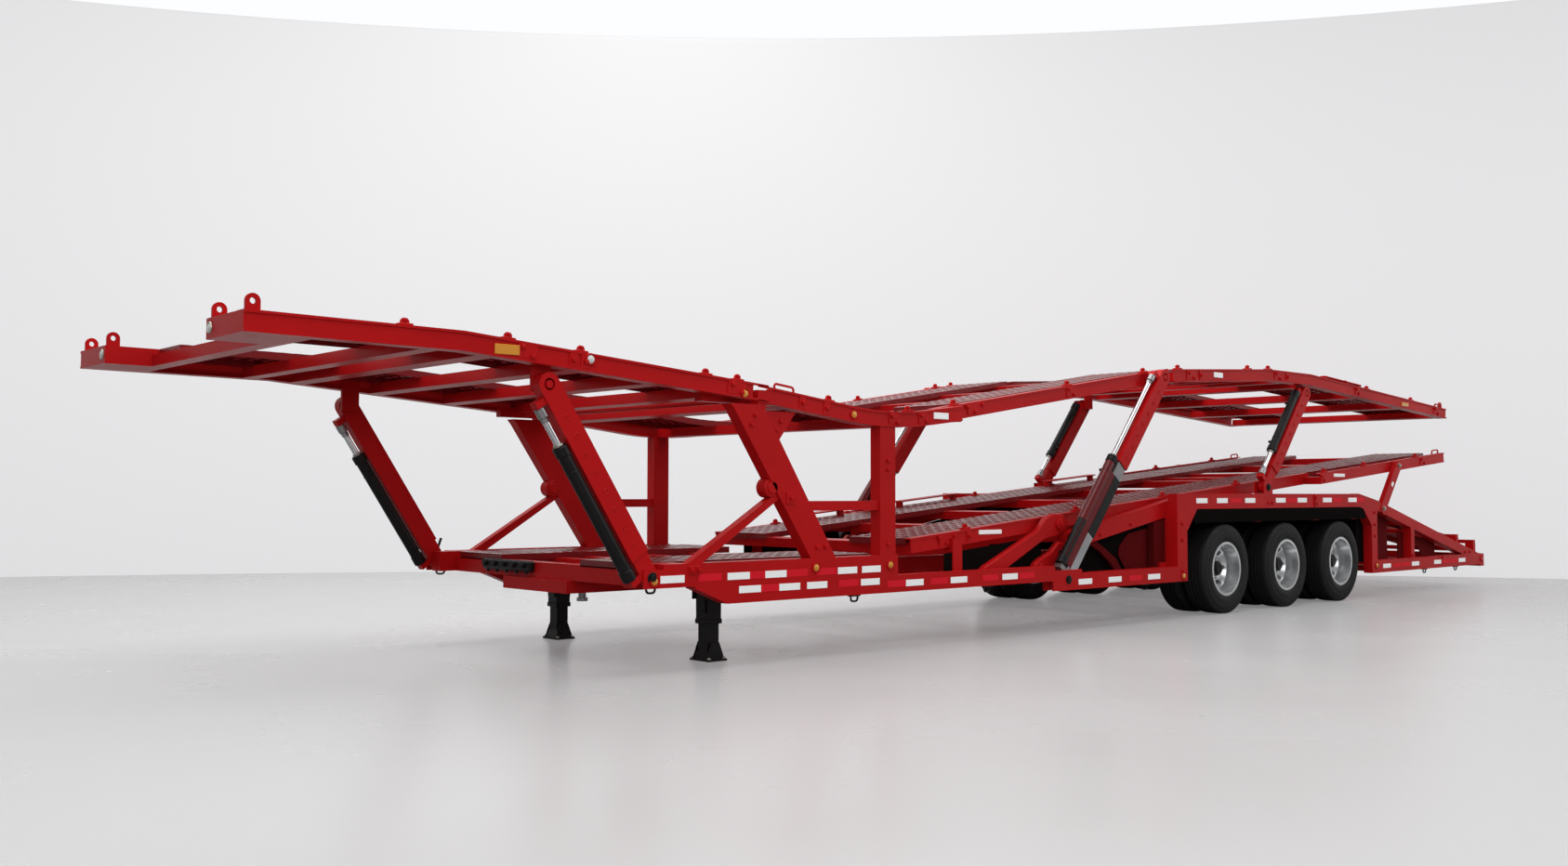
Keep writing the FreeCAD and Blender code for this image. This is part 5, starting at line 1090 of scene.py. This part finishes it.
class TRAILER_OT_side_plates(bpy.types.Operator):
    """Bolted plates, bolts and tow rings on the sides of the lower frame"""
    bl_idname = "trailer.side_plates"
    bl_label = "Side plates and rings"

    def execute(self, context):
        bolt = bolt_model(0.013)
        thick, proud = 0.012, 0.010
        places, plates = [], []
        for x, z, long, high, bolts in SIDE_PLATES:
            for dx, dz in bolts:
                face = self.surface(context, (x + dx, -1.6, z + dz), (0, 1, 0), 0.6).y
                if long and (dx, dz) == bolts[0]:
                    plates.append(block((x, face - proud + thick / 2, z), (long, thick, high), 0.002))
                places.append((x + dx, face - (proud if long else 0), z + dz))
        keep_pair(copied(bolt, places), "side_bolts", "chassis")
        for depth, radius in ((0.09, 0.062), (0.11, 0.040)):
            plates.append(drum((-3.800, -1.245, 1.085), radius, depth, LEFT, 24, 0.006))
        keep_pair(joined(plates), "side_plates", "chassis")
        discard(bolt)
        rings = []
        y = -1.25
        for x in (-1.702, -4.70, -3.05, 0.30, 5.60, 6.40):
            z = self.surface(context, (x, y, 0.05), (0, 0, 1), 0.95).z
            rings.append(block((x, y, z - 0.006), (0.09, 0.035, 0.014), 0.003))
            rings.append(pipe([(x - 0.032, y, z - 0.008), (x - 0.030, y, z - 0.045),
                               (x + 0.030, y, z - 0.045), (x + 0.032, y, z - 0.008)], 0.007, 0.018))
        keep_pair(joined(rings), "tow_rings", "chassis", "black_paint")
        valves = [block((-4.685, 0.35, 0.575), (0.05, 0.60, 0.07), 0.012)]
        for y in (0.12, 0.24, 0.36, 0.48, 0.60):
            valves.append(drum((-4.715, y, 0.585), 0.022, 0.03, (0, QUARTER, 0), 16, 0.004))
            valves.append(drum((-4.690, y, 0.540), 0.012, 0.03, sides=12, chamfer=0.002))
        lever = [(-4.700, 1.245, 0.625), (-4.725, 1.245, 0.66), (-4.700, 1.245, 0.73)]
        valves.append(pipe(lever, 0.009, 0.01))
        keep(joined(valves), "valve_block", "chassis", "black_paint")
        return {"FINISHED"}

    def surface(self, context, start, way, reach):
        """Where a line from a point first meets a surface, no further off than its reach."""
        found, place = context.scene.ray_cast(context.evaluated_depsgraph_get(), start, way,
                                              distance=reach)[:2]
        if not found:
            raise RuntimeError("no surface ahead of %.3f %.3f %.3f" % start)
        return place


class TRAILER_OT_tail_fittings(bpy.types.Operator):
    """Arched side plates in a darker red that is painted shade, support arm plates and rear lamps of the tail"""
    bl_idname = "trailer.tail_fittings"
    bl_label = "Tail fittings"

    def execute(self, context):
        y, thick, base = -1.215, 0.010, 0.345
        # The arch in the plate's lower edge: its middle, half its length and its rise.
        middle, half, rise = 5.45, 0.17, 0.15
        arc = [(middle + half * math.cos(math.radians(turn)), base + rise * math.sin(math.radians(turn)))
               for turn in range(0, 181, 20)]
        plate = flat_plate([(5.05, base), (5.05, 0.66), (5.95, 0.54), (5.95, base)] + arc, y, thick)
        # This plate closes the bay ahead of the tail with a dark sheet: painted shade.
        panel = flat_plate([(4.38, base), (4.38, 0.86), (4.62, 0.86), (4.80, 0.80), (4.80, base)], y, thick)
        keep_pair(joined([plate, panel]), "tail_plates", "chassis", "shaded_red")
        arm = flat_plate([(4.462, 0.897), (4.546, 0.827), (4.961, 1.325), (4.877, 1.395)],
                         -1.3065, 0.005, 0.0015)
        keep_pair(arm, "support_arm_plates", "support_arms")
        bolt = bolt_model(0.020)
        bolts = copied(bolt, [(4.906, -1.306, 1.345), (4.536, -1.306, 0.900)])
        keep_pair(bolts, "support_arm_bolts", "support_arms", "zinc")
        discard(bolt)
        # This white spot glows faintly too, as painted light.
        spot = block((4.745, -1.308, 1.150), (0.035, 0.004, 0.050), 0.001, (0, math.radians(40), 0))
        keep_pair(spot, "support_arm_reflectors", "support_arms", "white_tape")
        low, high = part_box("tail_frame")
        profile = [(0.0005, 0.0), (0.055, 0.0), (0.060, 0.006), (0.060, 0.022), (0.050, 0.030),
                   (0.0005, 0.030)]
        for y, tone in ((-1.115, "amber_lens"), (-1.236, "red_lens")):
            body = turned(profile, Vector((0, 0, 0)), 28)
            place = (high[0] - 0.004, y, low[2] + 0.032)
            lamp = copied(body, [place], (0, 0, -QUARTER), (0.9, 0.5, 0.45))
            discard(body)
            keep_pair(lamp, "tail_" + tone, "chassis", tone)
        return {"FINISHED"}


def ring_of(centre, radius, y, count, first=0):
    """Places round a circle about an axle, the first at an angle in degrees."""
    turns = [math.radians(360 / count * index + first) for index in range(count)]
    return [(centre.x + radius * math.cos(turn), y, centre.z + radius * math.sin(turn)) for turn in turns]


TYRE_WIDTH = 0.228
# Radius at which a tyre meets its rim.
BEAD = 0.236
# Side wall of a tyre: how far each corner lies above the bead, and how far inside the tyre's side.
SIDE_WALL = ((-0.013, 0.020), (0.001, 0.016), (0.004, 0.010), (0.018, 0.004), (0.040, 0), (0.062, 0),
             (0.064, 0.003), (0.088, 0.002), (0.112, 0.006), (0.114, 0.010))
# Shoulder: how far each corner lies below the tread, and how far inside the tyre's side.
SHOULDER = ((0.022, 0.014), (0.012, 0.020), (0.004, 0.026))
# Grooves round the tread: the middle of each in Y, their depth, and half their width above and below.
GROOVES = (0.052, 0.018)
GROOVE_DEPTH, GROOVE_MOUTH, GROOVE_FLOOR = 0.011, 0.006, 0.004
# Radii of the ring of wheel nuts and of the ring of bolts on the hub.
NUT_CIRCLE, BOLT_CIRCLE = 0.127, 0.083


class TRAILER_OT_wheels(bpy.types.Operator):
    """Tyres with grooved treads, and the nuts, caps and valves of the wheels"""
    bl_idname = "trailer.wheels"
    bl_label = "Wheels"

    def execute(self, context):
        for axle in ("front", "middle", "rear"):
            for side, sign in (("left", -1), ("right", 1)):
                tag = "%s_axle_%s" % (axle, side)
                low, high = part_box("tyres_" + tag)
                centre = (Vector(low) + Vector(high)) / 2
                profile = self.tyre_profile((high[2] - low[2]) / 2)
                shift = Vector((0, (high[1] - low[1] - TYRE_WIDTH) / 2, 0))
                tyres = joined([turned(profile, centre + way * shift, 80) for way in (-1, 1)])
                keep(tyres, "twin_tyres_" + tag, "wheels_" + tag, "tyre_rubber", 28)
                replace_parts(tyres, "tyres_" + tag)
                self.hub(centre, sign, axle + "_" + side, "wheels_" + tag)
        return {"FINISHED"}

    def tyre_profile(self, radius):
        """Half of a tyre's section from bead to middle of the tread, mirrored into a whole one."""
        half = TYRE_WIDTH / 2
        points = [(BEAD + rise, half - inset) for rise, inset in SIDE_WALL]
        points += [(radius - drop, half - inset) for drop, inset in SHOULDER]
        floor = radius - GROOVE_DEPTH
        for groove in GROOVES:
            points += [(radius - 0.0005, groove + GROOVE_MOUTH), (floor, groove + GROOVE_FLOOR),
                       (floor, groove - GROOVE_FLOOR), (radius - 0.0003, groove - GROOVE_MOUTH)]
        return points + [(r, -place) for r, place in reversed(points)]

    def hub(self, centre, sign, tag, body):
        """Nuts, bearing cap, its bolts and the valve on the outer face of a wheel."""
        x, y, z = centre
        # The outer faces of the wheel's disc and of its hub.
        disc, end = y + sign * 0.014, y + sign * 0.125
        nut = joined([drum((0, 0, 0.013), 0.016, 0.026, sides=6, chamfer=0.003),
                      drum((0, 0, 0.003), 0.022, 0.006, sides=16, chamfer=0.001),
                      drum((0, 0, 0.032), 0.009, 0.014, sides=10, chamfer=0.002)])
        nuts = copied(nut, ring_of(centre, NUT_CIRCLE, disc, 10, 18), OUTWARD[sign])
        keep(nuts, "wheel_nuts_" + tag, body, "zinc")
        bolt = bolt_model(0.008)
        bolts = copied(bolt, ring_of(centre, BOLT_CIRCLE, end, 8), OUTWARD[sign])
        keep(bolts, "hub_bolts_" + tag, body, "bare_steel")
        profile = [(0.0005, 0.040), (0.045, 0.040), (0.058, 0.030), (0.062, 0.010), (0.068, 0.006),
                   (0.068, 0.0), (0.0005, 0.0)]
        cap = turned([(r, sign * place) for r, place in profile], Vector((x, end, z)), 32)
        keep(cap, "hub_cap_" + tag, body, "black_paint")
        valve = pipe([(x + 0.19, disc, z + 0.03), (x + 0.205, disc + sign * 0.05, z + 0.035),
                      (x + 0.206, disc + sign * 0.10, z + 0.035)], 0.0045, 0.01)
        keep(valve, "valve_" + tag, body, "zinc")
        discard(nut, bolt)


class TRAILER_OT_legs(bpy.types.Operator):
    """Ribs, brackets and bolts of the landing legs"""
    bl_idname = "trailer.legs"
    bl_label = "Landing leg fittings"

    def execute(self, context):
        low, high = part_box("landing_leg_left")
        x, y, top = (low[0] + high[0]) / 2, (low[1] + high[1]) / 2, high[2]
        pieces = []
        for sign in (-1, 1):
            # An upright rib on the foot, and the mounting plates at the top of the leg.
            rib = [(x - 0.072, 0.012), (x - 0.030, 0.115), (x + 0.030, 0.115), (x + 0.072, 0.012)]
            pieces.append(flat_plate(rib, y + sign * 0.068 - 0.004, 0.008))
            pieces.append(block((x, y + sign * 0.060, top - 0.06), (0.17, 0.010, 0.12)))
            pieces.append(block((x + sign * 0.062, y, top - 0.10), (0.012, 0.09, 0.20)))
        pieces.append(block((x, y, 0.246), (0.124, 0.124, 0.03), 0.004))
        pieces.append(drum((x, y - 0.062, 0.40), 0.020, 0.02, LEFT, 16))
        keep_pair(joined(pieces), "landing_leg_brackets", "chassis", "black_paint")
        bolt = bolt_model(0.011)
        plate = [(x + dx, y - 0.065, top - dz) for dx in (-0.06, 0.06) for dz in (0.03, 0.09)]
        foot = [(x + dx, y + dy, 0.013) for dx in (-0.06, 0.06) for dy in (-0.08, 0.08)]
        bolts = joined([copied(bolt, plate), copied(bolt, foot, UPRIGHT)])
        keep_pair(bolts, "landing_leg_bolts", "chassis", "zinc")
        discard(bolt)
        return {"FINISHED"}


def blended(tree, factor, first, second):
    """A shader mixed from two others."""
    node = tree.nodes.new("ShaderNodeMixShader")
    for index, item in enumerate((factor, first, second)):
        tree.links.new(item, node.inputs[index])
    return node.outputs["Shader"]


# Studio lamps: place, turn in degrees, size and power.
LAMPS = (
    ((-4.0, 1.0, 10.0), (0, 0, 0), 13.0, 1250.0),
    ((-9.0, -9.5, 5.0), (58, 0, -45), 7.0, 300.0),
    ((8.0, -9.0, 6.0), (55, 0, 40), 6.0, 240.0),
)
# Radius of the curved wall and how far it turns, in radians.
WALL_BEND, WALL_SPREAD = 30.0, 1.3


class TRAILER_OT_studio(bpy.types.Operator):
    """Floor, backdrop, lamps and camera"""
    bl_idname = "trailer.studio"
    bl_label = "Studio"

    def execute(self, context):
        studio = context.scene.trailer_studio
        self.camera(context, studio)
        self.floor(studio)
        self.wall(studio)
        self.lights(context)
        context.scene.view_settings.view_transform = "Standard"
        return {"FINISHED"}

    def camera(self, context, studio):
        clear_selection()
        turn = (QUARTER + studio.camera_pitch, studio.camera_roll, studio.camera_heading - QUARTER)
        bpy.ops.object.camera_add(location=studio.camera_place, rotation=turn)
        camera = context.object
        camera.data.lens = studio.lens
        camera.data.sensor_width = 36
        context.scene.camera = camera

    def floor(self, studio):
        clear_selection()
        bpy.ops.mesh.primitive_plane_add(size=90, location=(0, 0, 0))
        self.stand("studio_floor", self.surface("Studio floor", (studio.floor, studio.floor_seen),
                                                (0.18, 0.34), (studio.wall_seen, 0.2)))

    def wall(self, studio):
        """A tall wall that curves round the far side of the floor, its top edge leaning out."""
        heading, tall = studio.camera_heading, studio.wall_height
        front = Vector((math.cos(heading), math.sin(heading), 0))
        right = Vector((math.sin(heading), -math.cos(heading), 0))
        eye = Vector(studio.camera_place)
        hub = eye + front * (studio.wall_depth - WALL_BEND)
        hub.z = 0
        half = WALL_SPREAD / 2
        start = hub + (front * math.cos(half) - right * math.sin(half)) * WALL_BEND
        outward = (start - hub).normalized()
        points = [start, start + Vector((0, 0, tall)), start + outward * 0.3 + Vector((0, 0, tall + 0.15))]
        outline([tuple(point) for point in points])
        bpy.ops.mesh.spin(steps=40, angle=WALL_SPREAD, center=hub, axis=(0, 0, 1))
        # A face near the wall's middle shows whether its front is turned to the camera.
        face = done().data.polygons[20]
        if face.normal.dot(face.center - eye) > 0:
            edit()
            bpy.ops.mesh.flip_normals()
            done()
        bpy.ops.object.shade_smooth()
        self.stand("studio_wall", self.surface("Studio wall", (studio.wall, studio.wall), (0.8, 0.9),
                                               (studio.wall_seen, 0.7), True))

    def stand(self, name, material):
        """Makes the active object a piece of the studio, in one material."""
        piece = bpy.context.object
        piece.name = name
        piece.data.materials.clear()
        piece.data.materials.append(material)

    def surface(self, name, tones, roughness, plain_tone, one_sided=False):
        """A plain stage material: its tone for bounced light and for the camera, and a share of plain tone.

        A one-sided surface is clear from behind, so that it never hides the trailer.
        """
        material = bpy.data.materials.new(name)
        material.use_nodes = True
        tree = material.node_tree
        paint = tree.nodes["Principled BSDF"]
        camera_ray = tree.nodes.new("ShaderNodeLightPath").outputs["Is Camera Ray"]
        tone = mixed(tree, camera_ray, (*tones[0], 1), (*tones[1], 1))
        tree.links.new(tone, paint.inputs["Base Color"])
        tree.links.new(scaled(tree, noise(tree, 0.7, 4.0), *roughness), paint.inputs["Roughness"])
        plain = tree.nodes.new("ShaderNodeEmission")
        plain.inputs["Color"].default_value = (*plain_tone[0], 1)
        look = blended(tree, scaled(tree, camera_ray, 0.0, plain_tone[1]), paint.outputs["BSDF"],
                       plain.outputs["Emission"])
        if one_sided:
            rear = tree.nodes.new("ShaderNodeNewGeometry").outputs["Backfacing"]
            look = blended(tree, rear, look, tree.nodes.new("ShaderNodeBsdfTransparent").outputs["BSDF"])
        tree.links.new(look, tree.nodes["Material Output"].inputs["Surface"])
        return material

    def lights(self, context):
        world = bpy.data.worlds.new("Studio air")
        context.scene.world = world
        world.use_nodes = True
        tree = world.node_tree
        air = tree.nodes["Background"]
        air.inputs["Color"].default_value = (0.98, 0.99, 1.0, 1)
        seen = tree.nodes.new("ShaderNodeLightPath").outputs["Is Camera Ray"]
        tree.links.new(scaled(tree, seen, 0.36, 1.0), air.inputs["Strength"])
        for place, turn, size, power in LAMPS:
            clear_selection()
            bpy.ops.object.light_add(type="AREA", location=place,
                                     rotation=[math.radians(degrees) for degrees in turn])
            lamp = context.object.data
            lamp.energy = power
            lamp.size = size


OPERATORS = (
    TRAILER_OT_studio, TRAILER_OT_finishes, TRAILER_OT_tracks, TRAILER_OT_rail_lips, TRAILER_OT_fish_plates,
    TRAILER_OT_lamps, TRAILER_OT_reflectors, TRAILER_OT_lift_fittings, TRAILER_OT_lift_covers,
    TRAILER_OT_side_bays, TRAILER_OT_deck_fittings, TRAILER_OT_side_plates, TRAILER_OT_tail_fittings,
    TRAILER_OT_wheels, TRAILER_OT_legs,
)


class TRAILER_PT_panel(bpy.types.Panel):
    """Lists the steps that finish the trailer"""
    bl_idname = "TRAILER_PT_panel"
    bl_label = "Car transporter"
    bl_space_type = "VIEW_3D"
    bl_region_type = "UI"
    bl_category = "Transporter"

    def draw(self, context):
        column = self.layout.column()
        for settings in ("trailer_colours", "trailer_sizes", "trailer_studio"):
            group_settings = getattr(context.scene, settings)
            for label in group_settings.bl_rna.properties.keys():
                if label not in ("rna_type", "name"):
                    column.prop(group_settings, label)
        for step in OPERATORS:
            column.operator(step.bl_idname)


SETTINGS = (("trailer_colours", TrailerColours), ("trailer_sizes", TrailerSizes),
            ("trailer_studio", StudioSettings))


def register():
    for name, settings in SETTINGS:
        bpy.utils.register_class(settings)
        setattr(bpy.types.Scene, name, bpy.props.PointerProperty(type=settings))
    for step in OPERATORS:
        bpy.utils.register_class(step)
    bpy.utils.register_class(TRAILER_PT_panel)


def unregister():
    bpy.utils.unregister_class(TRAILER_PT_panel)
    for step in reversed(OPERATORS):
        bpy.utils.unregister_class(step)
    for name, settings in reversed(SETTINGS):
        delattr(bpy.types.Scene, name)
        bpy.utils.unregister_class(settings)


def main():
    register()
    for step in OPERATORS:
        getattr(bpy.ops.trailer, step.bl_idname.split(".")[1])()


if __name__ == "__main__":
    main()
